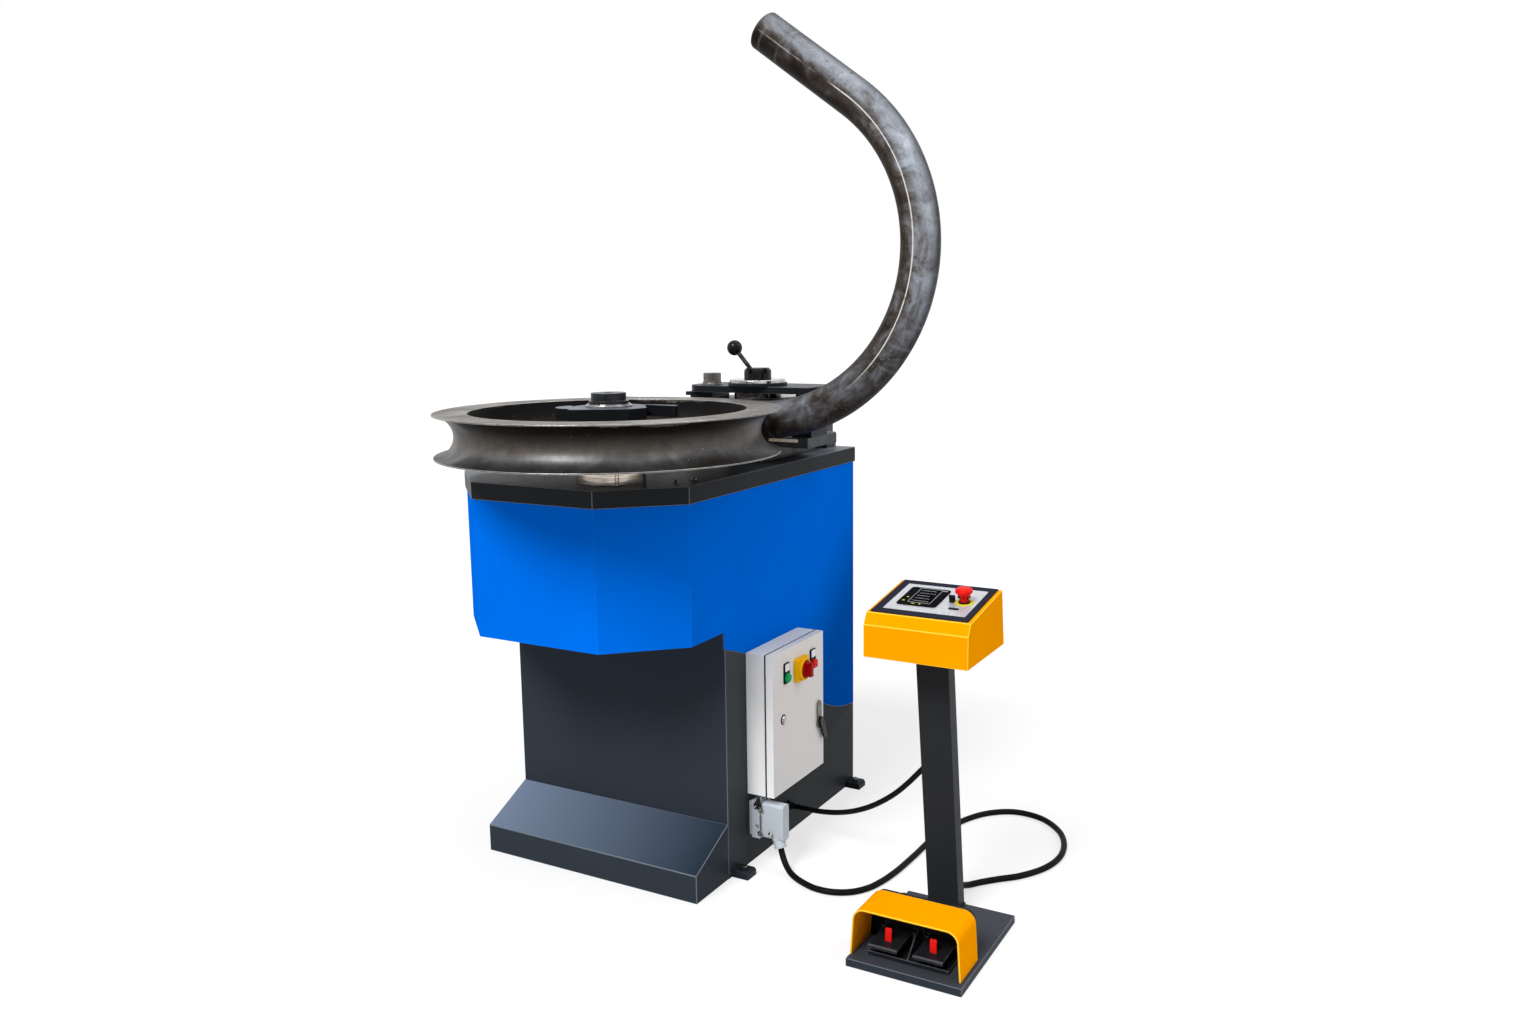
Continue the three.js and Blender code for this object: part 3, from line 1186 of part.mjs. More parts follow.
function makeConnector() {
  const { baseDepth, baseInset, sealInset } = socket;
  const [front, back, bottom, top] = [socketLeft, socketRight, socketBottom, socketTop];
  const foot = block(socketBack, socketBack + baseDepth, front + baseInset, back - baseInset,
    bottom + baseInset, top - baseInset);
  const housingBody = block(socketBack + baseDepth - overrun, socketFront, front, back, bottom, top);
  const seal = block(socketFront - overrun, socketFront + socket.sealLength,
    front + sealInset, back - sealInset, bottom + sealInset, top - sealInset);
  const pivot = placed(rod(bail.barRadius, 0, back - front + 2 * bail.thickness),
    at(bailX, front - bail.thickness, bailHeight), axisY);
  piece('connector_socket', join(foot, housingBody, seal, pivot), finish.connectorGrey);

  const { inset, cornerRadius, glandRadius, glandLength, ribDepth } = hood;
  const cross = roundedRectangle(front + inset, back - inset, bottom + inset, top - inset, cornerRadius);
  const shell = prismX(cross, hoodBack, hoodFront);
  const ribbed = [[0, -cornerRadius], [glandRadius, -cornerRadius]];
  const valley = glandRadius - ribDepth;
  const pitch = glandLength / hoodRibs;
  for (let i = 0; i < hoodRibs; i += 1) {
    const middle = (i + 1 / 2) * pitch;
    ribbed.push([glandRadius, i * pitch], [glandRadius, middle]);
    ribbed.push([valley, middle], [valley, (i + 1) * pitch - gap]);
  }
  ribbed.push([valley - ribDepth, glandLength - gap], [0, glandLength - gap]);
  const gland = placed(turned(ribbed, smallSides), glandStart, glandDirection);
  piece('connector_hood', join(shell, gland), finish.connectorGrey);

  const barZ = bailHeight + bail.barRise;
  const sides = [front - bail.thickness - gap, back + gap].map((y) => {
    const plate = prismY(bailArm(), y, y + bail.thickness);
    const bore = placed(rod(bail.barRadius + runningGap, 0, bail.thickness + 2 * overrun),
      at(bailX, y - overrun, bailHeight), axisY);
    return cut(plate, bore);
  });
  const bar = placed(rod(bail.barRadius, 0, back - front + bail.thickness + 2 * gap),
    at(bailX + bail.armWidth, front - bail.thickness / 2 - gap, barZ), axisY);
  piece('connector_lever', join(bar, ...sides), finish.polished);

  function bailArm() {
    const half = bail.armWidth / 2;
    const { margin } = bail;
    return outline([
      [bailX - half, bailHeight - half], [bailX + half, bailHeight - half],
      [bailX + bail.pegReach, bailHeight - half / 2], [bailX + bail.pegReach, bailHeight + half],
      [bailX + bail.armWidth + margin, barZ + margin],
      [bailX + bail.armWidth - margin, barZ + margin],
      [bailX - half, bailHeight + half],
    ]);
  }
}

// The leaning post's rear face at a height
const postBottom = footPlate.thickness + gap;
const postTop = postBottom + post.height;
const postX = footPlate.centreX + post.shiftX;
const postFront = footPlate.front + post.frontInset;

function postBack(z) {
  return postFront + post.depth - post.lean * (z - postBottom) / post.height;
}

// Where a cable starts, just off the boss on the post's rear face
function bossEnd(z) {
  return at(postX, postBack(z) + post.bossLength + gap, z);
}

// A cable is a smooth tube through points chosen by hand
function cableTube(points, radius, steps) {
  const curve = new THREE.CatmullRomCurve3(points, false, 'centripetal');
  const section = new THREE.Shape();
  for (let i = 0; i < cableSides; i += 1) {
    const angle = 2 * Math.PI * i / cableSides;
    const [u, v] = [radius * Math.cos(angle), radius * Math.sin(angle)];
    if (i === 0) section.moveTo(u, v);
    else section.lineTo(u, v);
  }
  return toSolid(new THREE.ExtrudeGeometry(section, { steps, extrudePath: curve, bevelEnabled: false }));
}

function straight(end, direction) {
  return end.clone().addScaledVector(direction, cableStraight).toArray();
}

function makeCables() {
  const floor = footCable.axisHeight;
  const start = glandEnd.clone().addScaledVector(glandDirection, gap);
  const entry = bossEnd(footCable.postHeight);
  const footRoute = [
    start.toArray(), straight(start, glandDirection), [457.2, -280.9, 35], [469.6, -289.2, 21.9],
    [485.2, -299.7, 12.8], [504, -312, 9], [540, -333, 9.4], [588, -349, floor], [638, -346, floor],
    [682, -322, floor], [711, -282, floor], [727, -232, floor], [738, -163, floor], [745, -41, floor],
    [750, 86, floor], [786, 249, floor], [835, 332, floor], [900, 374, floor], [979, 366, floor],
    [1050, 307, floor], [1090, 229, floor], [1105, 135, floor], [1088, 49, floor], [1043, -28, floor],
    [995, -76, floor], [962, -112, floor], [941.4, -148, 12.9], [932.7, -184, 25.3], [931, -216.2, 37.1],
    straight(entry, axisY), entry.toArray(),
  ].map((point) => new THREE.Vector3(...point));
  piece('cable_foot', cableTube(footRoute, footCable.radius, footCableSteps), finish.cableBlack);

  const exit = at(columnX + wallGland.length + gap, consoleCable.wallY, consoleCable.wallHeight);
  const socketEnd = bossEnd(consoleCable.postHeight);
  const consoleRoute = [
    exit.toArray(), straight(exit, axisX), [400, -54.6, 85.2], [440, -61, 88], [490, -77, 99],
    [540, -95, 115], [590, -113, 136], [640, -131, 163], [690, -150, 197], [740, -169, 238],
    [782, -186, 280], [822, -203, 325], [856.3, -215.5, 364.4], [898.1, -229.5, 417.8],
    [913.3, -243, 435.1], [922.9, -259.6, 446.3], [928.7, -278.7, 453.1],
    straight(socketEnd, axisY), socketEnd.toArray(),
  ].map((point) => new THREE.Vector3(...point));
  const consoleTube = cableTube(consoleRoute, consoleCable.radius, consoleCableSteps);
  piece('cable_console', consoleTube, finish.cableBlack);

  const gland = turned([
    [0, gap], [wallGland.flangeRadius, gap], [wallGland.flangeRadius, wallGland.flangeLength],
    [wallGland.radius, wallGland.flangeLength], [wallGland.noseRadius, wallGland.length],
    [0, wallGland.length],
  ], smallSides);
  const glandAt = at(columnX, consoleCable.wallY, consoleCable.wallHeight);
  piece('cable_gland', placed(gland, glandAt, axisX), finish.blackPlastic);
}

// Console: foot plate, leaning post, sheet metal box and its panel with the controls
function makeFootPlate() {
  const half = footPlate.width / 2;
  piece('console_foot_plate', block(footPlate.centreX - half, footPlate.centreX + half,
    footPlate.front, footPlate.front + footPlate.depth, 0, footPlate.thickness), finish.anthracite);
}

function makePost() {
  const half = post.width / 2;
  const leaning = (inset, z0, z1) => {
    const lean = (z) => -post.lean * (z - postBottom) / post.height;
    return outline([
      [postFront + inset + lean(z0), z0], [postFront + post.depth - inset + lean(z0), z0],
      [postFront + post.depth - inset + lean(z1), z1], [postFront + inset + lean(z1), z1],
    ]);
  };
  const outer = prismX(leaning(0, postBottom, postTop), postX - half, postX + half);
  const inner = prismX(leaning(post.wall, postBottom - overrun, postTop + overrun),
    postX - half + post.wall, postX + half - post.wall);
  const bosses = [footCable.postHeight, consoleCable.postHeight].map((z) => placed(
    rod(post.bossRadius, -post.wall / 2, post.bossLength), at(postX, postBack(z), z), axisY));
  piece('console_post', join(cut(outer, inner), ...bosses), finish.anthracite);
}

const boxBase = postTop + gap;
const boxNose = postFront - post.lean - consoleBox.frontReach;
const chamferY = boxNose + consoleBox.chamferDepth;
const chamferTop = boxBase + consoleBox.chamferHeight;
const backTopY = boxNose + consoleBox.topDepth;
const backTop = boxBase + consoleBox.backHeight;
const slopeRun = backTopY - chamferY;
const slopeRise = backTop - chamferTop;
const slope = at(0, slopeRun, slopeRise).normalize();
const slopeNormal = at(0, -slope.z, slope.y);

// A point of the sloped top above a given Y, moved out along its normal
function onSlope(x, y, out) {
  const z = chamferTop + (y - chamferY) * slope.z / slope.y;
  return at(x, y, z).addScaledVector(slopeNormal, out);
}

// A band along the sloped top between two Y values and two heights above it
function slopeBand(y0, y1, low, high) {
  const corners = [onSlope(0, y0, low), onSlope(0, y1, low), onSlope(0, y1, high), onSlope(0, y0, high)];
  return outline(corners.map((p) => [p.y, p.z]));
}

function makeConsoleBox() {
  const { wall } = consoleBox;
  const half = consoleBox.width / 2;
  const x0 = postX - half;
  const x1 = postX + half;
  const frontTop = boxBase + consoleBox.frontHeight;
  const backY = boxNose + consoleBox.depth;
  const outer = prismX(outline([
    [boxNose, boxBase], [boxNose, frontTop], [chamferY, chamferTop], [backTopY, backTop],
    [backY, boxBase],
  ]), x0, x1);
  const inner = prismX(outline([
    [boxNose + wall, boxBase + wall], [boxNose + wall, frontTop], [chamferY + wall, chamferTop - wall],
    [backTopY - wall, backTop - 2 * wall], [backY - wall, boxBase + wall],
  ]), x0 + wall, x1 - wall);
  const { openingInset, openingDepth } = consoleBox;
  const opening = prismX(
    slopeBand(chamferY + openingInset, backTopY - openingInset, -openingDepth, overrun),
    x0 + openingInset, x1 - openingInset);
  piece('console_box', cut(outer, inner, opening), finish.orange);
}

function makePanel() {
  const half = consoleBox.width / 2 - panel.sideInset;
  const y0 = chamferY + panel.edgeInset;
  const y1 = backTopY - panel.edgeInset;
  const band = slopeBand(y0, y1, gap, gap + panel.thickness);
  const plate = prismX(band, postX - half, postX + half);
  const holes = [estop, selector].map((item) => {
    const hole = rod(item.stemRadius + runningGap, -2 * overrun, panel.thickness + 2 * overrun);
    return placed(hole, seatOf(item), slopeNormal);
  });
  piece('control_panel', cut(plate, ...holes), finish.blackSteel);

  const raised = (radius, height) => [radius, panel.thickness + height];
  const mushroom = turned([
    [0, -estop.insert], [estop.stemRadius, -estop.insert], raised(estop.stemRadius, estop.stemTop),
    raised(estop.neckRadius, estop.neckTop), raised(estop.shoulderRadius, estop.shoulderTop),
    raised(estop.headRadius, estop.rimBottom), raised(estop.headRadius, estop.rimTop),
    raised(estop.shoulderRadius, estop.height), raised(0, estop.height),
  ], smallSides);
  piece('estop_button', placed(mushroom, seatOf(estop), slopeNormal), finish.red);

  const knobBottom = panel.thickness + 2 * gap;
  const knobTop = knobBottom + selector.height;
  const knob = turned([
    [0, -selector.insert], [selector.stemRadius, -selector.insert], [selector.stemRadius, knobBottom],
    [selector.radius, knobBottom], [selector.radius, knobTop], [0, knobTop],
  ], smallSides);
  const grip = block(-selector.radius, selector.radius, -selector.gripWidth / 2, selector.gripWidth / 2,
    knobTop - gap, knobTop + selector.gripHeight);
  piece('selector_knob', placed(join(knob, grip), seatOf(selector), slopeNormal), finish.blackPlastic);

  function seatOf(item) {
    return onSlope(postX + item.shiftX, chamferY + item.reach, 0);
  }
}

// Foot switch
const bedBottom = footPlate.thickness + gap;
const bedTop = bedBottom + bed.thickness - gap;
const switchX = footPlate.centreX + footSwitch.shiftX;
const switchFront = footPlate.front + footSwitch.frontInset;
const switchBack = switchFront + footSwitch.depth;
const pivotY = switchBack - pedal.pivotInset;
const pivotHeight = bedTop + pedal.pivotRise;
const latchY = pivotY - latch.reach;

function makeBed() {
  const half = bed.width / 2;
  const x0 = switchX - half;
  const x1 = switchX + half;
  const [front, back] = [switchFront, switchBack];
  const lipTop = bedBottom + bed.lipHeight;
  const dividerTop = bedBottom + bed.dividerHeight;
  const floor = block(x0, x1, front, back, bedBottom, bedTop);
  const lip = block(x0, x1, front, front + bed.lip, bedBottom, lipTop);
  const divider = prismX(outline([
    [front + bed.lip, bedTop - gap], [front + bed.lip, lipTop], [front + bed.dividerHeight, dividerTop],
    [back, dividerTop], [back, bedTop - gap],
  ]), switchX - bed.dividerWidth / 2, switchX + bed.dividerWidth / 2);
  const rear = block(x0, x1, back - bed.rearLength, back, bedBottom, bedBottom + bed.rearHeight);
  const ears = [];
  for (const side of [-1, 1]) {
    const centre = switchX + side * pedal.spacing / 2;
    for (const edge of [-1, 1]) {
      ears.push(ear(centre, edge, pedal.width, bed.earWidth, pivotY - pedal.barrelRadius - overrun,
        back - overrun, pivotHeight + pedal.barrelRadius + overrun));
      ears.push(ear(centre, edge, latch.width, latch.earWidth, latchY - latch.earDepth / 2,
        latchY + latch.earDepth / 2, bedTop + latch.earHeight));
    }
  }
  piece('pedal_bed', join(floor, lip, divider, rear, ...ears), finish.blackPlastic);

  // An upright beside a pivoting piece of a given width
  function ear(centre, edge, width, thickness, y0, y1, top) {
    const near = centre + edge * (width / 2 + gap);
    const far = near + edge * thickness;
    return block(Math.min(near, far), Math.max(near, far), y0, y1, bedTop - gap, top);
  }
}

function makePedals() {
  for (const [word, side] of [['left', -1], ['right', 1]]) {
    const centre = switchX + side * pedal.spacing / 2;
    const half = pedal.width / 2;
    const front = pivotY - pedal.length;
    const nose = front - pedal.noseBevel;
    const top = bedTop + pedal.topRise;
    const underside = top - pedal.thickness;
    const tread = prismX(outline([
      [pivotY, top], [front, top], [nose, top - pedal.noseBevel], [nose, underside],
      [pivotY, underside],
    ]), centre - half, centre + half);
    const barrel = placed(rod(pedal.barrelRadius, 0, pedal.width),
      at(centre - half, pivotY, pivotHeight), axisX);
    const slotHalf = latch.width / 2 + 2 * gap;
    const slot = block(centre - slotHalf, centre + slotHalf,
      latchY - pedal.slotFrontReach, latchY + pedal.slotBackReach, underside - overrun, top + overrun);
    piece(`pedal_${word}`, cut(join(tread, barrel), slot), finish.blackPlastic);

    const latchFront = latchY - latch.thickness / 2;
    const latchBack = latchY + latch.thickness / 2;
    const latchBottom = bedTop + latch.lift;
    const latchTop = bedTop + latch.rise;
    const bar = prismX(outline([
      [latchFront, latchBottom], [latchFront, latchTop - latch.thickness], [latchY, latchTop],
      [latchBack, latchTop], [latchBack, latchBottom],
    ]), centre - latch.width / 2, centre + latch.width / 2);
    piece(`pedal_latch_${word}`, bar, finish.red);
  }
}

function makeGuard() {
  const bottom = footPlate.thickness + gap;
  const top = footPlate.thickness + guard.height;
  const arch = (inset, z0) => {
    const half = guard.width / 2 - inset;
    const topHalf = half - guard.lean;
    const radius = guard.cornerRadius - inset;
    const shoulder = top - inset - radius;
    const centreX = switchX;
    const shape = new THREE.Shape();
    shape.moveTo(centreX - half, z0);
    shape.lineTo(centreX - topHalf, shoulder);
    shape.absarc(centreX - topHalf + radius, shoulder, radius, Math.PI, Math.PI / 2, true);
    shape.lineTo(centreX + topHalf - radius, top - inset);
    shape.absarc(centreX + topHalf - radius, shoulder, radius, Math.PI / 2, 0, true);
    shape.lineTo(centreX + half, z0);
    return shape;
  };
  const front = switchFront - guard.frontReach;
  const back = switchBack - guard.backInset;
  const outer = prismY(arch(0, bottom), front, back);
  const inner = prismY(arch(guard.wall, bottom - overrun), front - overrun, back + overrun);
  piece('pedal_guard', cut(outer, inner), finish.orange);
}

makeBaseFrame();
makeColumn();
makeHead();
makeTable();
makeToeBox();
makeRearCover();
makeHousing();
makeBearing('spindle_bearing_lower', housingBottom);
makeBearing('spindle_bearing_upper', housingTop - bearing.thickness);
makeSpindle();
makeFormer();
makeDriveArm();
makeWasherAndNut();
makeGears();
makeGearbox();
makeMotor();
makePipe();
makeWay();
makeCarriage();
makePosts();
makeBridge();
makeRoller();
makePin();
makeLever();
makeBridgeBolt();
makeSideScrew();
makeThrustScrew();
makeEnclosureBody();
makeEnclosureDoor();
makeDoorFittings();
makeConnector();
makeCables();
makeFootPlate();
makePost();
makeConsoleBox();
makePanel();
makeBed();
makePedals();
makeGuard();

export default machine;
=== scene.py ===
import json
import math

import bmesh
import bpy
from mathutils import Matrix, Vector

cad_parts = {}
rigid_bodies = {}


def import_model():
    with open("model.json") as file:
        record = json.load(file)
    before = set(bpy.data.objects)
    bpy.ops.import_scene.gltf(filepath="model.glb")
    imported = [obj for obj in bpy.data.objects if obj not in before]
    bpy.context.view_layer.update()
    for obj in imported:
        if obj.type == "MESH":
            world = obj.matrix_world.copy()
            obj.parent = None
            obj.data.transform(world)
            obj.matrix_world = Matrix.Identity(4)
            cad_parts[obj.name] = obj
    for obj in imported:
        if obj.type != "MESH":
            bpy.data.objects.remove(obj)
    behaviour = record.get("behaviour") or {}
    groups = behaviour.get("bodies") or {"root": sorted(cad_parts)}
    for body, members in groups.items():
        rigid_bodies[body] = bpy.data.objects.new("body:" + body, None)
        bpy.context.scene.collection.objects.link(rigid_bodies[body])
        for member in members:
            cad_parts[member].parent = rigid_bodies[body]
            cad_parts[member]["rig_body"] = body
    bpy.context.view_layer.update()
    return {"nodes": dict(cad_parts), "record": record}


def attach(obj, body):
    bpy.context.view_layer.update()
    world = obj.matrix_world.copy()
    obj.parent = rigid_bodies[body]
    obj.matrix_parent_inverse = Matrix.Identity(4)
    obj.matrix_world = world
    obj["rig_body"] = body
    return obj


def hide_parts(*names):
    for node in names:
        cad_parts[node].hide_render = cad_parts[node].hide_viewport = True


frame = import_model()
nodes = frame["nodes"]
slot_of = {part["node"]: part["material_slot"] for part in frame["record"]["subparts"]}

MM = 0.001
ORIGIN = Vector((0, 0, 0))
X_AXIS, Y_AXIS, Z_AXIS = Vector((1, 0, 0)), Vector((0, 1, 0)), Vector((0, 0, 1))
FRONTWARD, ON_DOOR = (X_AXIS, Z_AXIS, -Y_AXIS), (Y_AXIS, Z_AXIS, X_AXIS)

# Camera at the photograph's viewpoint
CAMERA_AT = Vector((1.95965, -3.03295, 1.51767))
CAMERA_YAW, CAMERA_PITCH, CAMERA_ROLL = math.radians(29.22), math.radians(9.41), math.radians(-0.65)
CAMERA_LENS, CAMERA_SENSOR = 28.55, 36.0

# Places and sizes of the solids, in millimetres
TABLE_TOP = 1095
SPINDLE_AT, ROLLER_AT = (126, -564), (240, -9)
WHEEL_LOW, WHEEL_TOP, WHEEL_RADIUS, WELL_RADIUS = 1169, 1278, 431, 346
PIPE_RADIUS, PIPE_WALL, PIPE_Y, PIPE_Z = 50.8, 4.0, -132, 1223.5

# Routes of the cables' solids
FOOT_CABLE_RADIUS, CONSOLE_CABLE_RADIUS = 8.5, 7.5
FLOOR_LINE = 9.3
FOOT_ROUTE = [
    (444.33, -272.17, 58.9), (448.61, -275.05, 49.18), (457.2, -280.9, 35), (469.6, -289.2, 21.9),
    (485.2, -299.7, 12.8), (504, -312, 9), (540, -333, 9.4),
    *((x, y, FLOOR_LINE) for x, y in (
        (588, -349), (638, -346), (682, -322), (711, -282), (727, -232), (738, -163), (745, -41), (750, 86),
        (786, 249), (835, 332), (900, 374), (979, 366), (1050, 307), (1090, 229), (1105, 135), (1088, 49),
        (1043, -28), (995, -76), (962, -112),
    )),
    (941.4, -148, 12.9), (932.7, -184, 25.3), (931, -216.2, 37.1), (931, -239.6, 40), (931, -250.6, 40),
]
CONSOLE_ROUTE = [
    (372, -54, 85), (383, -54, 85), (400, -54.6, 85.2), (440, -61, 88), (490, -77, 99), (540, -95, 115),
    (590, -113, 136), (640, -131, 163), (690, -150, 197), (740, -169, 238), (782, -186, 280),
    (822, -203, 325), (856.3, -215.5, 364.4), (898.1, -229.5, 417.8), (913.3, -243, 435.1),
    (922.9, -259.6, 446.3), (928.7, -278.7, 453.1), (931, -300.9, 456), (931, -311.9, 456),
]


def point(x, y, z):
    return Vector((x, y, z)) * MM


def added(name, data):
    """A new object in the scene."""
    made = bpy.data.objects.new(name, data)
    bpy.context.scene.collection.objects.link(made)
    return made


# Camera
def make_camera():
    forward = Vector((
        -math.sin(CAMERA_YAW) * math.cos(CAMERA_PITCH),
        math.cos(CAMERA_YAW) * math.cos(CAMERA_PITCH),
        -math.sin(CAMERA_PITCH),
    ))
    level = Vector((math.cos(CAMERA_YAW), math.sin(CAMERA_YAW), 0))
    upright = level.cross(forward)
    right = math.cos(CAMERA_ROLL) * level + math.sin(CAMERA_ROLL) * upright
    up = math.cos(CAMERA_ROLL) * upright - math.sin(CAMERA_ROLL) * level
    data = bpy.data.cameras.new("camera")
    data.lens = CAMERA_LENS
    data.sensor_width = CAMERA_SENSOR
    camera = added("camera", data)
    rows = Matrix((right, up, -forward)).transposed().to_4x4()
    camera.matrix_world = Matrix.Translation(CAMERA_AT) @ rows
    bpy.context.scene.camera = camera


make_camera()


# Material nodes
finishes = {}


class Surface:
    """One procedural material, kept in finishes, and the node patterns that the finishes share."""

    def __init__(self, name, roughness, metallic=0.0, specular=0.3):
        material = finishes[name] = bpy.data.materials.new(name)
        material.use_nodes = True
        self.tree = material.node_tree
        self.shader = self.tree.nodes["Principled BSDF"]
        values = {"Metallic": metallic, "Roughness": roughness, "Specular IOR Level": specular}
        for key, value in values.items():
            self.shader.inputs[key].default_value = value

    def node(self, kind, inputs=None, **settings):
        """A node with its settings, and with plain values or links at its inputs."""
        made = self.tree.nodes.new(kind)
        for key, value in settings.items():
            setattr(made, key, value)
        for key, value in (inputs or {}).items():
            self.put(value, made.inputs[key])
        return made

    def link(self, source, target):
        self.tree.links.new(source, target)

    def place(self):
        """The place on the object, in metres."""
        return self.node("ShaderNodeTexCoord").outputs["Object"]

    def own(self, name):
        """Three values that the mesh carries at its points."""
        return self.node("ShaderNodeAttribute", attribute_name=name).outputs["Vector"]

    def put(self, value, target):
        """Links a socket, or writes a plain value."""
        if isinstance(value, (int, float, tuple)):
            target.default_value = value
        else:
            self.link(value, target)

    def parts(self, vector):
        made = self.node("ShaderNodeSeparateXYZ", {"Vector": vector})
        return made.outputs["X"], made.outputs["Y"], made.outputs["Z"]

    def together(self, x, y, z):
        return self.node("ShaderNodeCombineXYZ", {"X": x, "Y": y, "Z": z}).outputs["Vector"]

    def math(self, operation, first, second=0.0):
        return self.node("ShaderNodeMath", {0: first, 1: second}, operation=operation).outputs["Value"]

    def stretched(self, scale, vector=None):
        inputs = {"Scale": scale, "Vector": vector or self.place()}
        return self.node("ShaderNodeMapping", inputs).outputs["Vector"]

    def noise(self, scale, detail=4.0, vector=None, roughness=0.55, distortion=0.0):
        return self.node("ShaderNodeTexNoise", {
            "Scale": scale, "Detail": detail, "Roughness": roughness, "Distortion": distortion,
            "Vector": vector or self.place(),
        }).outputs["Fac"]

    def spots(self, scale, size):
        """Small round marks: 1 in the middle of each, 0 outside."""
        made = self.node("ShaderNodeTexVoronoi", {"Scale": scale, "Vector": self.place()})
        return self.grey(made.outputs["Distance"], 1, 0, size * 0.6, size)

    def ramp(self, source, stops):
        """Tones for a value, at places from 0 to 1."""
        made = self.node("ShaderNodeValToRGB")
        elements = made.color_ramp.elements
        while len(elements) < len(stops):
            elements.new(0.5)
        for element, (place, colour) in zip(elements, stops):
            element.position = place
            element.color = (*linear(colour), 1)
        self.link(source, made.inputs["Fac"])
        return made.outputs["Color"]

    def grey(self, source, low, high, start=0.3, end=0.7, smooth=False):
        """Goes from low to high as the source goes from start to end."""
        return self.node("ShaderNodeMapRange", {
            "From Min": start, "From Max": end, "To Min": low, "To Max": high, "Value": source,
        }, interpolation_type="SMOOTHSTEP" if smooth else "LINEAR").outputs["Result"]

    def mixed(self, factor, first, second, mode="MIX"):
        if isinstance(second, tuple):
            second = (*linear(second), 1)
        inputs = {0: factor, 6: first, 7: second}
        return self.node("ShaderNodeMix", inputs, data_type="RGBA", blend_type=mode).outputs[2]

    def colour(self, source):
        self.link(source, self.shader.inputs["Base Color"])

    def roughness(self, source):
        self.link(source, self.shader.inputs["Roughness"])

    def bump(self, source, depth, strength):
        made = self.node("ShaderNodeBump", {"Strength": strength, "Distance": depth * MM, "Height": source})
        self.link(made.outputs["Normal"], self.shader.inputs["Normal"])


def linear(colour):
    """The linear values of a colour written from 0 to 255."""
    shares = [value / 255 for value in colour]
    return [s / 12.92 if s <= 0.04045 else ((s + 0.055) / 1.055) ** 2.4 for s in shares]


def shaded(colour, share):
    """The colour times a share, with no value over 255."""
    return tuple(min(255.0, value * share) for value in colour)


CABINET_HALF = 0.35  # metres


def painted(name, colour, roughness=0.38, specular=0.03, grain=420, depth=0.05, cloud=0.02, top=None,
            side=None, painted_back_shade=None):
    """Sprayed paint: a faint cloud of tone, fine speckle and the skin of an orange, with painted light and
    shade.

    top: painted light and sheen, tones of the faces that look up, from the cabinet's left to its right.
    side: painted light and shade, the tone of the faces that look right. painted_back_shade: painted shade,
    the share of tone that is left low at the back and bottom, out of 255.
    """
    s = Surface(name, roughness, specular=specular)
    tone = s.ramp(s.noise(3, detail=3), [(0.3, shaded(colour, 1 - cloud)), (0.7, shaded(colour, 1 + cloud))])
    right, _, rise = s.parts(s.node("ShaderNodeNewGeometry").outputs["Normal"])
    # painted light and shade on the faces that look right
    if side:
        tone = s.mixed(s.grey(right, 0, 1, 0.6, 0.95), tone, side)
    # painted light and sheen on the faces that look up
    if top:
        across = s.grey(s.parts(s.place())[0], 0, 1, -CABINET_HALF, CABINET_HALF)
        sheen = s.ramp(across, [(0, top[0]), (1, top[1])])
        tone = s.mixed(s.grey(rise, 0, 1, 0.35, 0.6), tone, sheen)
    # painted shade, darker towards the back and bottom
    if painted_back_shade:
        _, y, z = s.parts(s.place())
        far = s.math("SUBTRACT", y, s.math("MULTIPLY", z, 1.1))
        low = s.grey(far, 0, 1, -0.7, -0.25, smooth=True)
        tone = s.mixed(low, tone, s.mixed(1.0, tone, (painted_back_shade, painted_back_shade, painted_back_shade), "MULTIPLY"))
    speckle = s.ramp(s.noise(1300, detail=1), [(0.35, (236, 236, 236)), (0.65, (255, 255, 255))])
    s.colour(s.mixed(0.6, tone, speckle, "MULTIPLY"))
    s.roughness(s.grey(s.noise(40, detail=5), roughness * 0.9, roughness * 1.12))
    s.bump(s.noise(grain, detail=2), depth, strength=0.3)


def plastic(name, colour, roughness=0.45, specular=0.05, low_share=0.88):
    """Moulded plastic: its tone falls to low_share of itself in soft clouds, over a fine grain."""
    s = Surface(name, roughness, specular=specular)
    s.colour(s.ramp(s.noise(40, detail=4), [(0.3, shaded(colour, low_share)), (0.7, colour)]))
    s.roughness(s.grey(s.noise(70), roughness * 0.9, roughness * 1.15))
    s.bump(s.noise(1500, detail=1), 0.03, strength=0.3)


def steel(name, dark, light, roughness=0.35, stretch=(1, 1, 1), scale=40, metallic=1.0):
    """Machined or brushed metal: fine lines of two tones and handled patches."""
    s = Surface(name, roughness, metallic)
    lines = s.noise(scale, detail=6, vector=s.stretched(stretch), roughness=0.65)
    s.colour(s.ramp(lines, [(0.3, dark), (0.7, light)]))
    s.roughness(s.grey(s.noise(25, detail=6), roughness * 0.8, roughness * 1.3))
    s.bump(lines, 0.02, strength=0.4)


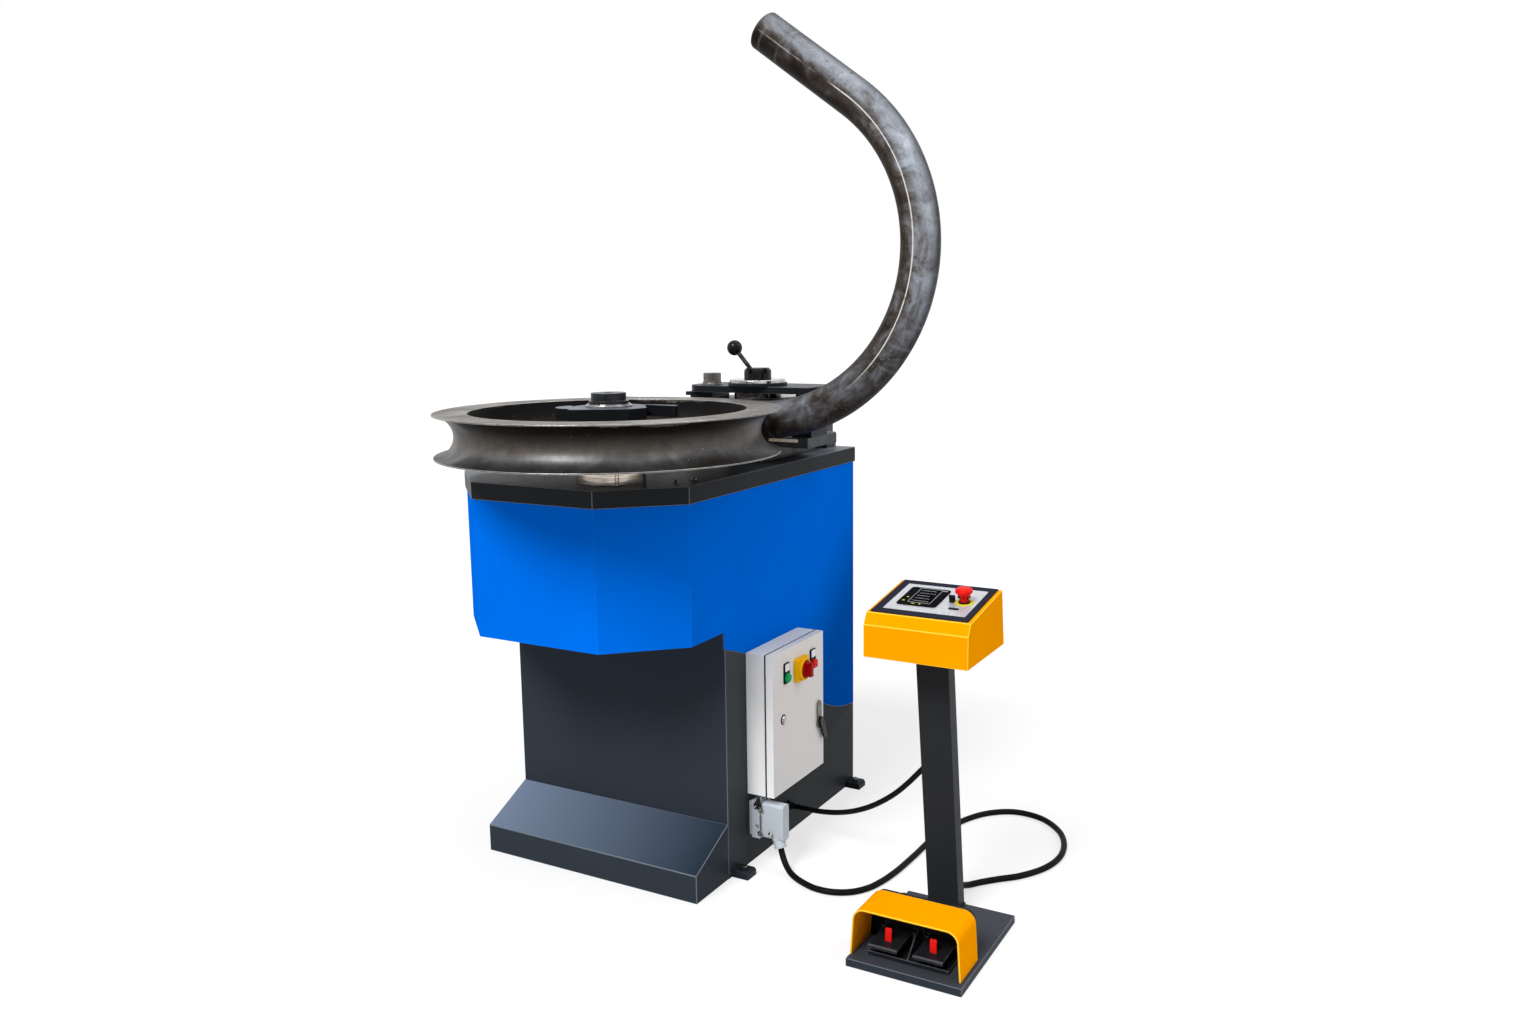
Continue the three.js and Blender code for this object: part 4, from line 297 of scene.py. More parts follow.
def turned_steel():
    """The former's raw steel, with turning lines, stains and polished patches, and painted light and shade.

    The ramps of the outer and inner faces go up the wheel, from its underside to its top. A painted highlight
    lies across the lower groove and on the web's top face, painted shade in the upper groove under the top
    rim and on the faces inside the well above the web, and the rim's top face is lighter in patches.
    """
    s = Surface("raw_former_steel", 0.42, metallic=0.6)
    x, y, z = s.parts(s.place())
    off_x, off_y = (s.math("SUBTRACT", value, at * MM) for value, at in zip((x, y), SPINDLE_AT))
    flat = s.together(off_x, off_y, 0.0)
    reach = s.node("ShaderNodeVectorMath", {0: flat}, operation="LENGTH").outputs["Value"]
    rise = s.grey(z, 0, 1, WHEEL_LOW * MM, WHEEL_TOP * MM)
    patches = s.noise(6, detail=7, roughness=0.62, distortion=0.7)
    worn = s.math("ADD", rise, s.grey(patches, -0.09, 0.09, 0.35, 0.65))
    # painted highlight across the lower groove, painted shade under the top rim, and a thin painted highlight
    # on the rim's top corner
    outer_painted_light = s.ramp(worn, [
        (0.0, (66, 64, 62)), (0.10, (84, 84, 86)), (0.26, (112, 114, 118)), (0.40, (110, 106, 102)),
        (0.52, (90, 85, 80)), (0.66, (56, 52, 48)), (0.82, (36, 33, 31)), (0.97, (30, 28, 27)),
        (0.995, (150, 145, 140)),
    ])
    rim = s.grey(z, 0, 1, (WHEEL_TOP - 1.5) * MM, (WHEEL_TOP - 0.5) * MM)
    rim_tone = s.ramp(s.noise(9, detail=6, roughness=0.6), [(0.35, (104, 102, 102)), (0.65, (158, 152, 147))])
    # painted highlight on the web's top face and painted shade on the faces inside the well above it
    inside = s.ramp(rise, [
        (0.0, (52, 50, 49)), (0.335, (58, 56, 55)), (0.3385, (176, 166, 154)), (0.345, (176, 166, 154)),
        (0.356, (40, 43, 50)), (1.0, (30, 33, 39)),
    ])
    inner = s.grey(reach, 1, 0, (WELL_RADIUS - 0.5) * MM, (WELL_RADIUS + 0.5) * MM)
    base = s.mixed(inner, s.mixed(rim, outer_painted_light, rim_tone), inside)
    lines = s.noise(420, detail=5, vector=s.together(reach, 0.0, z), roughness=0.7)
    fine = s.ramp(lines, [(0.25, (190, 188, 186)), (0.75, (255, 254, 252))])
    stains = s.noise(30, detail=8, roughness=0.7)
    soft = s.ramp(stains, [(0.34, (176, 168, 160)), (0.62, (255, 255, 255))])
    cloud = s.ramp(patches, [(0.34, (170, 160, 150)), (0.66, (255, 255, 255))])
    stained = s.mixed(0.6, s.mixed(0.6, base, fine, "MULTIPLY"), soft, "MULTIPLY")
    aged = s.mixed(0.7, stained, cloud, "MULTIPLY")
    nicks = s.math("MULTIPLY", s.spots(60, 0.12), s.grey(s.noise(11), 0, 0.35, 0.58, 0.66))
    s.colour(s.mixed(nicks, aged, (196, 194, 190)))
    s.roughness(s.grey(patches, 0.52, 0.34))
    s.bump(lines, 0.05, strength=0.35)


def pipe_steel_with_painted_light():
    """Pipe steel with painted light and shade: a painted blue-grey sheen on the side that looks towards
    LIGHT_FROM, brown scale darkened by painted shade on the side away from it, painted shade at the back and
    near both ends, a scribed line, marks, rust and small painted glint spots.

    turn is 1 on the bend's outer side and -1 on its inner side, facing is 1 at the back and -1 in front,
    run is the way along the pipe in metres, and shade, the painted light, grows towards LIGHT_FROM.
    """
    s = Surface("pipe_scale_and_painted_light", 0.42, metallic=0.06, specular=0.04)
    turn, facing, run = s.parts(s.own("pipe_place"))
    shade = s.parts(s.own("pipe_painted_light"))[0]
    rolled = s.together(s.math("MULTIPLY", turn, 0.05), s.math("MULTIPLY", facing, 0.05), run)
    cloud = s.noise(13, detail=5, roughness=0.58, distortion=1.1)
    streaks = s.noise(16, detail=7, vector=s.stretched((3.2, 3.2, 0.75), rolled), roughness=0.68)
    mottled = s.math("ADD", s.grey(cloud, -0.4, 0.4, 0.32, 0.68), s.grey(streaks, -0.26, 0.26, 0.3, 0.7))
    # painted light and shade: the tone grows with shade, towards LIGHT_FROM, and is mottled at random
    tone = s.grey(s.math("ADD", shade, mottled), 0, 1, -1.1, 1.1)
    base = s.ramp(tone, [
        (0.0, (28, 22, 17)), (0.28, (50, 43, 37)), (0.45, (80, 74, 70)), (0.58, (112, 112, 115)),
        (0.70, (142, 147, 156)), (0.84, (164, 171, 182)), (1.0, (188, 195, 206)),
    ])
    warm = s.grey(s.noise(4, detail=4), 0, 0.55, 0.5, 0.66)
    brown = s.mixed(warm, base, (150, 128, 112), "MULTIPLY")
    # painted shade: darker near the start of the bend and at the tail
    start_shade = s.grey(run, 0.8, 0, 0.8, 1.25, smooth=True)
    tail_shade = s.grey(run, 0, 0.6, 1.45, 1.85, smooth=True)
    end_shade = s.math("ADD", start_shade, tail_shade)
    lower = s.mixed(end_shade, brown, (168, 164, 162), "MULTIPLY")
    # painted shade: darker on the side that looks to the back
    behind = s.grey(facing, 0, 0.9, -0.78, 0.0, smooth=True)
    lower = s.mixed(behind, lower, (88, 84, 82), "MULTIPLY")
    grit = s.ramp(s.noise(150, detail=4), [(0.34, (206, 204, 202)), (0.62, (255, 255, 255))])
    aged = s.mixed(0.4, lower, grit, "MULTIPLY")
    dark_spots = s.math("MULTIPLY", s.spots(34, 0.2), s.grey(s.noise(13, detail=5), 0, 0.7, 0.5, 0.6))
    spotted = s.mixed(dark_spots, aged, (58, 52, 48))
    # painted highlight: small bright glint spots
    painted_glints = s.math("MULTIPLY", s.spots(120, 0.22), s.grey(s.noise(20, detail=5), 0, 0.3, 0.55, 0.65))
    sparkled = s.mixed(painted_glints, spotted, (196, 200, 206))
    rings = s.node("ShaderNodeTexWave", {"Scale": 5.2, "Distortion": 1.6, "Vector": rolled},
                   wave_type="BANDS", bands_direction="Z")
    crest = s.grey(rings.outputs["Fac"], 0, 1, 0.93, 1.0)
    hoop = s.math("MULTIPLY", crest, s.grey(s.noise(7), 0, 0.16, 0.5, 0.62))
    hooped = s.mixed(hoop, sparkled, (178, 182, 190))
    # The scribed line runs along the front of the bend, and is broken where the pipe is straight again
    across = s.grey(s.math("ABSOLUTE", turn), 1, 0, 0.016, 0.042)
    bent = s.math("MULTIPLY", s.grey(run, 0, 1, 0.80, 0.98, smooth=True), s.grey(run, 1, 0, 1.70, 1.74))
    broken = s.grey(s.noise(16, detail=3), 0, 0.4, 0.42, 0.56)
    straight = s.math("MULTIPLY", s.grey(run, 0, 1, 1.60, 1.68), broken)
    seen = s.math("MULTIPLY", across, s.math("MAXIMUM", bent, straight))
    chipped = s.math("MULTIPLY", seen, s.grey(s.noise(60, detail=3), 0.35, 1, 0.3, 0.44))
    scribed = s.math("MULTIPLY", chipped, s.grey(facing, 1, 0, -0.4, 0.0))
    s.colour(s.mixed(scribed, hooped, (214, 212, 208)))
    s.roughness(s.grey(cloud, 0.36, 0.5))
    s.bump(s.noise(110, detail=5), 0.08, strength=0.25)


def rubber_sheath():
    """The cables' soft black cover."""
    s = Surface("cable_rubber", 0.3, specular=0.04)
    s.colour(s.ramp(s.noise(60, detail=3), [(0.3, (12, 13, 15)), (0.7, (20, 21, 24))]))
    s.roughness(s.grey(s.noise(45, detail=4), 0.36, 0.5))
    s.bump(s.noise(900, detail=2), 0.05, strength=0.3)


# blue_paint: painted shade towards the back and bottom
painted("blue_paint", (0, 108, 228), specular=0.0, painted_back_shade=190)
# the edge finishes are lighter than their paints: partly wear, partly a painted highlight on rounded edges
painted("blue_edge", (44, 142, 248))
# anthracite_paint: painted light on the faces that look right, painted shade towards the back and bottom
painted("anthracite_paint", (46, 52, 60), roughness=0.4, specular=0.04, depth=0.08, side=(64, 69, 73),
        painted_back_shade=176)
painted("anthracite_edge", (104, 112, 124), roughness=0.35)
painted("black_steel", (27, 30, 34), roughness=0.36, specular=0.1, grain=500)
# table, toe, plate and arm paint: painted light and sheen on the faces that look up; post_paint: painted
# light on the faces that look right
painted("table_paint", (41, 44, 47), top=((112, 117, 124), (94, 99, 106)))
painted("toe_paint", (46, 53, 61), depth=0.08, top=((108, 122, 142), (38, 48, 60)))
painted("plate_paint", (46, 52, 60), depth=0.08, top=((60, 63, 70), (60, 63, 70)))
painted("post_paint", (41, 43, 46), side=(50, 54, 58))
painted("arm_paint", (24, 25, 28), roughness=0.3, top=((112, 120, 138), (70, 76, 88)))
painted("black_edge", (104, 106, 110), roughness=0.3)
steel("raw_steel", (58, 55, 52), (104, 100, 96))
steel("raw_edge", (150, 147, 143), (206, 204, 200), roughness=0.3, scale=90)
steel("polished_steel", (138, 126, 114), (224, 214, 202), roughness=0.2, stretch=(1, 1, 12), scale=16)
steel("chrome", (138, 136, 134), (214, 212, 210), roughness=0.12, scale=30)
steel("black_oxide", (26, 28, 31), (52, 54, 58), roughness=0.32, metallic=0.6)
steel("bolt_steel", (74, 72, 70), (128, 126, 123), roughness=0.36, metallic=0.8)
steel("dark_iron", (44, 46, 48), (70, 72, 75), roughness=0.5, metallic=0.55)
# grey_paint: painted light on the faces that look up, painted shade on the faces that look right
painted("grey_paint", (238, 239, 240), roughness=0.42, grain=380, depth=0.08,
        top=((255, 253, 240), (255, 253, 240)), side=(234, 233, 232))
painted("grey_edge", (252, 251, 249), roughness=0.35)
painted("orange_paint", (255, 158, 0), roughness=0.36, specular=0.0)
painted("orange_edge", (255, 208, 64), roughness=0.3)
plastic("red_plastic", (236, 28, 24), roughness=0.3)
plastic("dark_red", (166, 14, 14), roughness=0.28)
plastic("green_plastic", (10, 168, 96), roughness=0.22)
plastic("yellow_plastic", (250, 190, 6), roughness=0.4, low_share=0.95)
painted("connector_metal", (178, 186, 194), roughness=0.34, specular=0.5, grain=600, depth=0.12, cloud=0.06)
painted("connector_edge", (222, 228, 234), roughness=0.3)
plastic("black_plastic", (20, 21, 24), roughness=0.3)
rubber_sheath()
turned_steel()
pipe_steel_with_painted_light()
plastic("screen_glass", (14, 15, 18), roughness=0.12, specular=0.0)
plastic("display_black", (22, 23, 26), roughness=0.34, specular=0.0)
painted("panel_blue", (44, 46, 58), roughness=0.36, specular=0.0)
steel("silver_plate", (176, 178, 184), (214, 216, 222), roughness=0.34, stretch=(14, 1, 1), metallic=0.4)
steel("label_silver", (206, 210, 216), (244, 246, 250), roughness=0.3, metallic=0.3)
plastic("pale_line", (160, 160, 164), roughness=0.5, specular=0.0)
plastic("lime", (222, 208, 40), roughness=0.4)
plastic("glossy_black", (11, 12, 15), roughness=0.16, specular=0.16)
steel("dark_chrome", (30, 29, 31), (88, 84, 82), roughness=0.16)
# painted shade in gaps, seams and slots; in the door's gap it also stands for the seal
plastic("black_gap_shade", (14, 15, 17), roughness=0.7, specular=0.1)
steel("warm_strip", (236, 214, 190), (255, 246, 234), roughness=0.3, metallic=0.1)
# The finish of a dressed node's rounded edges: lighter than its paint, partly wear and partly a painted
# highlight
EDGES = {
    "blue_paint": "blue_edge", "raw_steel": "raw_edge", "grey_paint": "grey_edge",
    "orange_paint": "orange_edge", "connector_metal": "connector_edge",
    **dict.fromkeys(("anthracite_paint", "toe_paint", "plate_paint"), "anthracite_edge"),
    **dict.fromkeys(("black_steel", "table_paint", "arm_paint", "post_paint"), "black_edge"),
}


# Mesh building. Angles are in degrees.
CORNER_STEPS = 6
SMOOTH_ANGLE, PIPE_SMOOTH_ANGLE = 32, 30  # a sharper edge is shaded as an edge
BEVEL_ANGLE = 28  # a sharper edge is rounded
MERGED_WITHIN, FLAT_WITHIN = 1e-6, 0.4  # metres between points, and the angle between faces that become one


def bridged(bm, low, high):
    """The band of faces between two rings with as many points."""
    for i in range(len(low)):
        j = (i + 1) % len(low)
        bm.faces.new((low[i], low[j], high[j], high[i]))


def outward(bm):
    bmesh.ops.recalc_face_normals(bm, faces=bm.faces)


def mesh_from(bm, name):
    mesh = bpy.data.meshes.new(name)
    bm.to_mesh(mesh)
    bm.free()
    return mesh


def finish_mesh(name, mesh, body, finish, smooth_angle=SMOOTH_ANGLE, edge=None):
    """The mesh as a piece with its finish, riding on its body."""
    for face in mesh.polygons:
        face.use_smooth = True
    mesh.set_sharp_from_angle(angle=math.radians(smooth_angle))
    mesh.materials.clear()
    mesh.materials.append(finishes[finish])
    if edge:
        mesh.materials.append(finishes[edge])
    piece = added(name, mesh)
    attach(piece, body)
    return piece


def applied(piece, modifier):
    bpy.context.view_layer.objects.active = piece
    bpy.ops.object.modifier_apply(modifier=modifier.name)


def bevelled(piece, width, segments=2):
    """Rounds the piece's edges, which catch the light, in its edge finish if it has one: wear and a painted
    highlight.
    """
    modifier = piece.modifiers.new("edge", "BEVEL")
    modifier.width = width * MM
    modifier.segments = segments
    modifier.limit_method = "ANGLE"
    modifier.angle_limit = math.radians(BEVEL_ANGLE)
    modifier.harden_normals = True
    modifier.miter_outer = "MITER_ARC"
    modifier.material = len(piece.data.materials) - 1
    applied(piece, modifier)


def body_of_node(node):
    return nodes[node]["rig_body"]


def dressed(node, bevel, finish=None, segments=2, edged=True):
    """A copy of a CAD node with rounded edges and its finish, which stands for the node."""
    mesh = nodes[node].data.copy()
    bm = bmesh.new()
    bm.from_mesh(mesh)
    bmesh.ops.remove_doubles(bm, verts=bm.verts, dist=MERGED_WITHIN)
    bmesh.ops.dissolve_limit(bm, angle_limit=math.radians(FLAT_WITHIN), verts=bm.verts, edges=bm.edges)
    bm.to_mesh(mesh)
    bm.free()
    look = finish or slot_of[node]
    edge = EDGES.get(look) if edged else None
    piece = finish_mesh(node + "_shown", mesh, body_of_node(node), look, edge=edge)
    if bevel:
        bevelled(piece, bevel, segments)
    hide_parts(node)


def rotation_to(direction):
    return Z_AXIS.rotation_difference(Vector(direction).normalized()).to_matrix().to_4x4()


def turned(name, profile, at, direction, body, finish, slot, sides=96, bevel=0.0, closed=False, edge=None):
    """A turned piece from radius and height pairs, in millimetres, along a direction."""
    bm = bmesh.new()
    rings = []
    for radius, height in profile:
        turns = [2 * math.pi * i / sides for i in range(sides if radius else 1)]
        rings.append([
            bm.verts.new((radius * MM * math.cos(turn), radius * MM * math.sin(turn), height * MM))
            for turn in turns
        ])
    pairs = list(zip(rings, rings[1:]))
    if closed:
        pairs.append((rings[-1], rings[0]))
    for low, high in pairs:
        if len(low) == len(high) > 1:
            bridged(bm, low, high)
        elif len(low) == 1:
            for i in range(sides):
                bm.faces.new((low[0], high[(i + 1) % sides], high[i]))
        else:
            for i in range(sides):
                bm.faces.new((low[i], low[(i + 1) % sides], high[0]))
    outward(bm)
    bm.transform(Matrix.Translation(at) @ rotation_to(direction))
    piece = finish_mesh(name, mesh_from(bm, name), body, finish, edge=edge)
    if bevel:
        bevelled(piece, bevel)
    return piece


def turned_node(node, profile, at, finish, direction=Z_AXIS, **options):
    """A turned piece that stands for a CAD node."""
    piece = turned(node + "_shown", profile, at, direction, body_of_node(node), finish, slot_of[node],
                   **options)
    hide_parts(node)
    return piece


def outline_ring(bm, outline, height, axes, at):
    u, v, w = axes
    return [bm.verts.new(at + (u * a + v * b + w * height) * MM) for a, b in outline]


def prism(name, outline, low, high, axes, body, finish, bevel=0.4, at=ORIGIN, segments=2, edge=None):
    """An outline in two axes, in millimetres, pushed along a third from low to high."""
    bm = bmesh.new()
    bottom, top = (outline_ring(bm, outline, height, axes, at) for height in (low, high))
    bm.faces.new(list(reversed(bottom)))
    bm.faces.new(top)
    bridged(bm, bottom, top)
    outward(bm)
    piece = finish_mesh(name, mesh_from(bm, name), body, finish, edge=edge)
    if bevel:
        bevelled(piece, bevel, segments)
    return piece


def framed(name, outer, inner, low, high, axes, body, finish, at=ORIGIN, bevel=0.0):
    """A flat ring between two outlines with as many points, in millimetres."""
    bm = bmesh.new()
    loops = [
        outline_ring(bm, outline, height, axes, at)
        for outline, height in ((outer, low), (outer, high), (inner, high), (inner, low))
    ]
    for first, second in zip(loops, [*loops[1:], loops[0]]):
        bridged(bm, first, second)
    outward(bm)
    piece = finish_mesh(name, mesh_from(bm, name), body, finish)
    if bevel:
        bevelled(piece, bevel)
    return piece


def rounded(x0, x1, y0, y1, radius):
    """The corner points of a rectangle with rounded corners."""
    points = []
    for cx, cy, start in (
        (x1 - radius, y1 - radius, 0), (x0 + radius, y1 - radius, 90),
        (x0 + radius, y0 + radius, 180), (x1 - radius, y0 + radius, 270),
    ):
        for i in range(CORNER_STEPS + 1):
            angle = math.radians(start + 90 * i / CORNER_STEPS)
            points.append((cx + radius * math.cos(angle), cy + radius * math.sin(angle)))
    return points


def bored(piece, radius, at, direction, low, high):
    """Drills a round hole through a piece, in millimetres from a place along a direction."""
    bm = bmesh.new()
    bmesh.ops.create_cone(bm, cap_ends=True, segments=32, radius1=radius * MM, radius2=radius * MM,
                          depth=(high - low) * MM)
    middle = Matrix.Translation(Z_AXIS * (low + high) / 2 * MM)
    bm.transform(Matrix.Translation(at) @ rotation_to(direction) @ middle)
    mesh = mesh_from(bm, "drill")
    drill = added("drill", mesh)
    modifier = piece.modifiers.new("bore", "BOOLEAN")
    modifier.operation = "DIFFERENCE"
    modifier.solver = "EXACT"
    modifier.object = drill
    applied(piece, modifier)
    bpy.data.objects.remove(drill)
    bpy.data.meshes.remove(mesh)


# Small fasteners
def hex_bolt(name, at, radius, height, turn):
    """An upright hexagon head on its washer."""
    washer = 1.5
    across = Z_AXIS.orthogonal().normalized()
    corners = [turn + 2 * math.pi * i / 6 for i in range(6)]
    prism(name, [(radius * math.cos(corner), radius * math.sin(corner)) for corner in corners], washer,
          washer + height, (across, Z_AXIS.cross(across), Z_AXIS), "machine", "black_oxide",
          0.5, at, edge="raw_edge")
    inner, outer = radius * 0.5, radius * 1.25
    turned(name + "_washer", [(inner, 0), (outer, 0), (outer, washer), (inner, washer)], at, Z_AXIS,
           "machine", "black_oxide", "black_oxide", sides=40, bevel=0.25, closed=True)


def button_screw(name, at, direction, radius):
    """A low domed head with a round socket."""
    turned(name, [
        (0, radius * 0.3), (radius * 0.42, radius * 0.3), (radius * 0.42, radius * 0.62),
        (radius * 0.7, radius * 0.56), (radius * 0.92, radius * 0.34), (radius, 0), (0, 0),
    ], at, direction, "machine", "chrome", "polished_steel", sides=28)


# Cables follow the same smooth curve as the solids
SPAN_STEPS = 8


def between(t, low, high, first, second):
    """The place at t on a line that is at first when t is low, and at second when it is high."""
    return first * ((high - t) / (high - low)) + second * ((t - low) / (high - low))


def catmull(points):
    knots = [point(*p) for p in points]
    ends = [knots[0] * 2 - knots[1], *knots, knots[-1] * 2 - knots[-2]]
    path = []
    for i in range(len(knots) - 1):
        a, b, c, d = ends[i:i + 4]
        ta = 0.0
        tb = ta + (b - a).length ** 0.5
        tc = tb + (c - b).length ** 0.5
        td = tc + (d - c).length ** 0.5
        for k in range(SPAN_STEPS):
            t = tb + (tc - tb) * k / SPAN_STEPS
            ab, bc, cd = between(t, ta, tb, a, b), between(t, tb, tc, b, c), between(t, tc, td, c, d)
            abc, bcd = between(t, ta, tc, ab, bc), between(t, tb, td, bc, cd)
            path.append(between(t, tb, tc, abc, bcd))
    return [*path, knots[-1]]


def cable(name, route, radius, node):
    path = catmull(route)
    curve = bpy.data.curves.new(name, "CURVE")
    curve.dimensions = "3D"
    curve.bevel_depth = radius * MM
    curve.bevel_resolution = 6
    spline = curve.splines.new("POLY")
    spline.points.add(len(path) - 1)
    for target, place in zip(spline.points, path):
        target.co = (*place, 1)
    spline.use_smooth = True
    curve.use_fill_caps = True
    curve.materials.append(finishes["cable_rubber"])
    piece = added(name, curve)
    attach(piece, body_of_node(node))
    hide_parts(node)


cable("cable_to_foot", FOOT_ROUTE, FOOT_CABLE_RADIUS, "cable_foot")
cable("cable_to_console", CONSOLE_ROUTE, CONSOLE_CABLE_RADIUS, "cable_console")


# Cabinet, with the bolts that hold it down, two table screws and the flat screws of its rear cover
TAB_X, TAB_Y, TAB_TOP = 375, 355.5, 20
TABLE_SCREWS = ((283.5, -506.5), (294.9, -440.8))
COVER_X, COVER_FACE, COVER_SCREW_HEIGHTS = 306, 397.35, (60, 280, 500, 720, 940)
PROUD = 0.1  # a small piece stands this far off the face below it, so that the two don't flicker


def make_cabinet():
    dressed("base_frame", 1.5)
    dressed("column_shell", 1.8, segments=3)
    dressed("head_shell", 2.0, segments=3)
    dressed("top_plate", 1.8, finish="table_paint", segments=3)
    dressed("toe_box", 2.0, finish="toe_paint", segments=3)
    dressed("rear_panel", 0, edged=False)
    for i, (side, end) in enumerate(((-1, -1), (-1, 1), (1, -1), (1, 1))):
        hex_bolt(f"tab_bolt_{i}", point(side * TAB_X, end * TAB_Y, TAB_TOP + PROUD), 9.5, 7, 0.3 + i)
    for i, (x, y) in enumerate(TABLE_SCREWS):
        button_screw(f"table_screw_{i}", point(x, y, TABLE_TOP + PROUD), Z_AXIS, 7)
    for i, (x, z) in enumerate((x, z) for x in (-COVER_X, COVER_X) for z in COVER_SCREW_HEIGHTS):
        turned(f"cover_screw_{i}", [(0, 0), (6, 0), (6, 0.5), (5.4, 0.9), (2.4, 0.9), (2.2, 0.3), (0, 0.3)],
               point(x, COVER_FACE, z), Y_AXIS, "machine", "bolt_steel", "black_oxide", sides=24)


# Round bodies of the former group
GROOVE_RADIUS, GROOVE_STEPS = 51.1, 28
WHEEL_GROOVE_CENTRE = 432
WHEEL_HOLE_AT, HOUSING_HOLE_AT = (449.7, -411.8), (189, -625.5)


def groove(centre_radius, rim_radius):
    """The pipe groove of a wheel from its lower to its upper lip, as radius and height pairs."""
    edge = math.acos((centre_radius - rim_radius) / GROOVE_RADIUS)
    turns = [-edge + 2 * edge * i / GROOVE_STEPS for i in range(GROOVE_STEPS + 1)]
    return [
        (centre_radius - GROOVE_RADIUS * math.cos(turn), PIPE_Z + GROOVE_RADIUS * math.sin(turn))
        for turn in turns
    ]


def make_former():
    at = point(*SPINDLE_AT, 0)
    wheel = turned_node("former_wheel", [
        (45.3, WHEEL_LOW), (95, WHEEL_LOW), (95, 1186), (WELL_RADIUS, 1186), (WELL_RADIUS, WHEEL_LOW),
        (WHEEL_RADIUS, WHEEL_LOW), *groove(WHEEL_GROOVE_CENTRE, WHEEL_RADIUS), (WHEEL_RADIUS, WHEEL_TOP),
        (WELL_RADIUS, WHEEL_TOP), (WELL_RADIUS, 1206), (95, 1206), (95, 1255.7), (45.3, 1255.7),
    ], at, "raw_former_steel", sides=192, bevel=0.9, closed=True, edge="raw_edge")
    bored(wheel, 7, point(*WHEEL_HOLE_AT, WHEEL_TOP), Z_AXIS, -40, 2)
    housing = turned_node("spindle_housing", [
        (52, 953.3), (62.3, 953.3), (62.3, 925), (78, 925), (78, 1095.3), (88, 1095.3), (88, 1150),
        (85, 1151), (85, 1154), (88, 1155), (88, 1160), (62.3, 1160), (62.3, 1131.7), (52, 1131.7),
    ], at, "polished_steel", bevel=0.8, closed=True)
    bored(housing, 5, point(*HOUSING_HOLE_AT, TABLE_TOP), Z_AXIS, 1, 70)
    turned_node("spindle_washer", [
        (45.3, 1284.7), (58, 1284.7), (58, 1289), (54, 1289.6), (54, 1292.1), (45.3, 1292.1),
    ], at, "chrome", bevel=0.6, closed=True)
    turned_node("spindle_nut", [
        (30.3, 1292.4), (50, 1292.4), (50, 1299.4), (44, 1300.4), (44, 1319.1), (12, 1319.1), (11, 1316),
        (0, 1316),
    ], at, "black_oxide", bevel=0.8)
    dressed("drive_arm", 2.4, finish="arm_paint", segments=3)
    for node in ("spindle", "spindle_bearing_lower", "spindle_bearing_upper", "drive_gear", "pinion",
                 "gearbox", "motor"):
        dressed(node, 0.5, edged=False)


# The bent pipe with its wall and the rounded lips at its ends
PIPE_START, BEND_START, BEND_RADIUS, BEND_ANGLE, TAIL = -210, 327, 455, math.radians(143.5), 317
BEND_STEPS, TAIL_STEPS, PIPE_SIDES, LIP = 96, 12, 96, 1.0
LIGHT_FROM = Vector((0.75, 0, 0.66))  # the pipe is painted lighter and bluer on the side that looks this way: painted light


def pipe_line():
    """Places along the pipe's axis: x, z, heading and the length run so far."""
    places = [(PIPE_START, PIPE_Z, 0.0, 0.0)]
    straight = BEND_START - PIPE_START
    for i in range(BEND_STEPS + 1):
        angle = BEND_ANGLE * i / BEND_STEPS
        x, z = BEND_START + BEND_RADIUS * math.sin(angle), PIPE_Z + BEND_RADIUS * (1 - math.cos(angle))
        places.append((x, z, angle, straight + BEND_RADIUS * angle))
    x, z, angle, run = places[-1]
    for i in range(1, TAIL_STEPS + 1):
        way = TAIL * i / TAIL_STEPS
        places.append((x + way * math.cos(angle), z + way * math.sin(angle), angle, run + way))
    return places


def make_pipe():
    bm = bmesh.new()
    places = pipe_line()
    outer, inner = PIPE_RADIUS, PIPE_RADIUS - PIPE_WALL
    where, tones = [], []

    def ring(place, radius, along=0.0):
        x, z, angle, run = place
        centre = Vector((x + along * math.cos(angle), PIPE_Y, z + along * math.sin(angle)))
        side = Vector((math.sin(angle), 0, -math.cos(angle)))
        made = []
        for k in range(PIPE_SIDES):
            turn = 2 * math.pi * (k + 0.5) / PIPE_SIDES
            out = Y_AXIS * math.cos(turn) + side * math.sin(turn)
            made.append(bm.verts.new((centre + out * radius) * MM))
            where.append((math.sin(turn), math.cos(turn), (run + along) * MM))
            # painted light: how far each point looks towards LIGHT_FROM
            tones.append((out.dot(LIGHT_FROM), 0, 0))
        return made

    first, last = places[0], places[-1]
    rings = [
        ring(first, outer - LIP), ring(first, outer, LIP), *(ring(place, outer) for place in places[1:-1]),
        ring(last, outer, -LIP), ring(last, outer - LIP), ring(last, inner + LIP / 2),
        ring(last, inner, -LIP / 2),
        *(ring(place, inner) for place in reversed(places[1:-1])),
        ring(first, inner, LIP / 2), ring(first, inner + LIP / 2),
    ]
    for low, high in zip(rings, [*rings[1:], rings[0]]):
        bridged(bm, low, high)
    outward(bm)
    mesh = mesh_from(bm, "pipe")
    for name, values in (("pipe_place", where), ("pipe_painted_light", tones)):
        layer = mesh.attributes.new(name, "FLOAT_VECTOR", "POINT")
        layer.data.foreach_set("vector", [number for value in values for number in value])
    piece = finish_mesh("workpiece_pipe_shown", mesh, "pipe", "pipe_scale_and_painted_light",
                        PIPE_SMOOTH_ANGLE)
    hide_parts("workpiece_pipe")


# Counter roller and bridge clamp
ROLLER_RADIUS, ROLLER_GROOVE_CENTRE = 112, 123
BRIDGE_BOLT_AT = (79, 5)
ROD_START = Vector((ROLLER_AT[0] - 18, ROLLER_AT[1], 1347.3))
BALL_AT, BALL_RADIUS, BALL_RINGS = Vector((ROLLER_AT[0] - 75, ROLLER_AT[1], 1412.3)), 22, 32


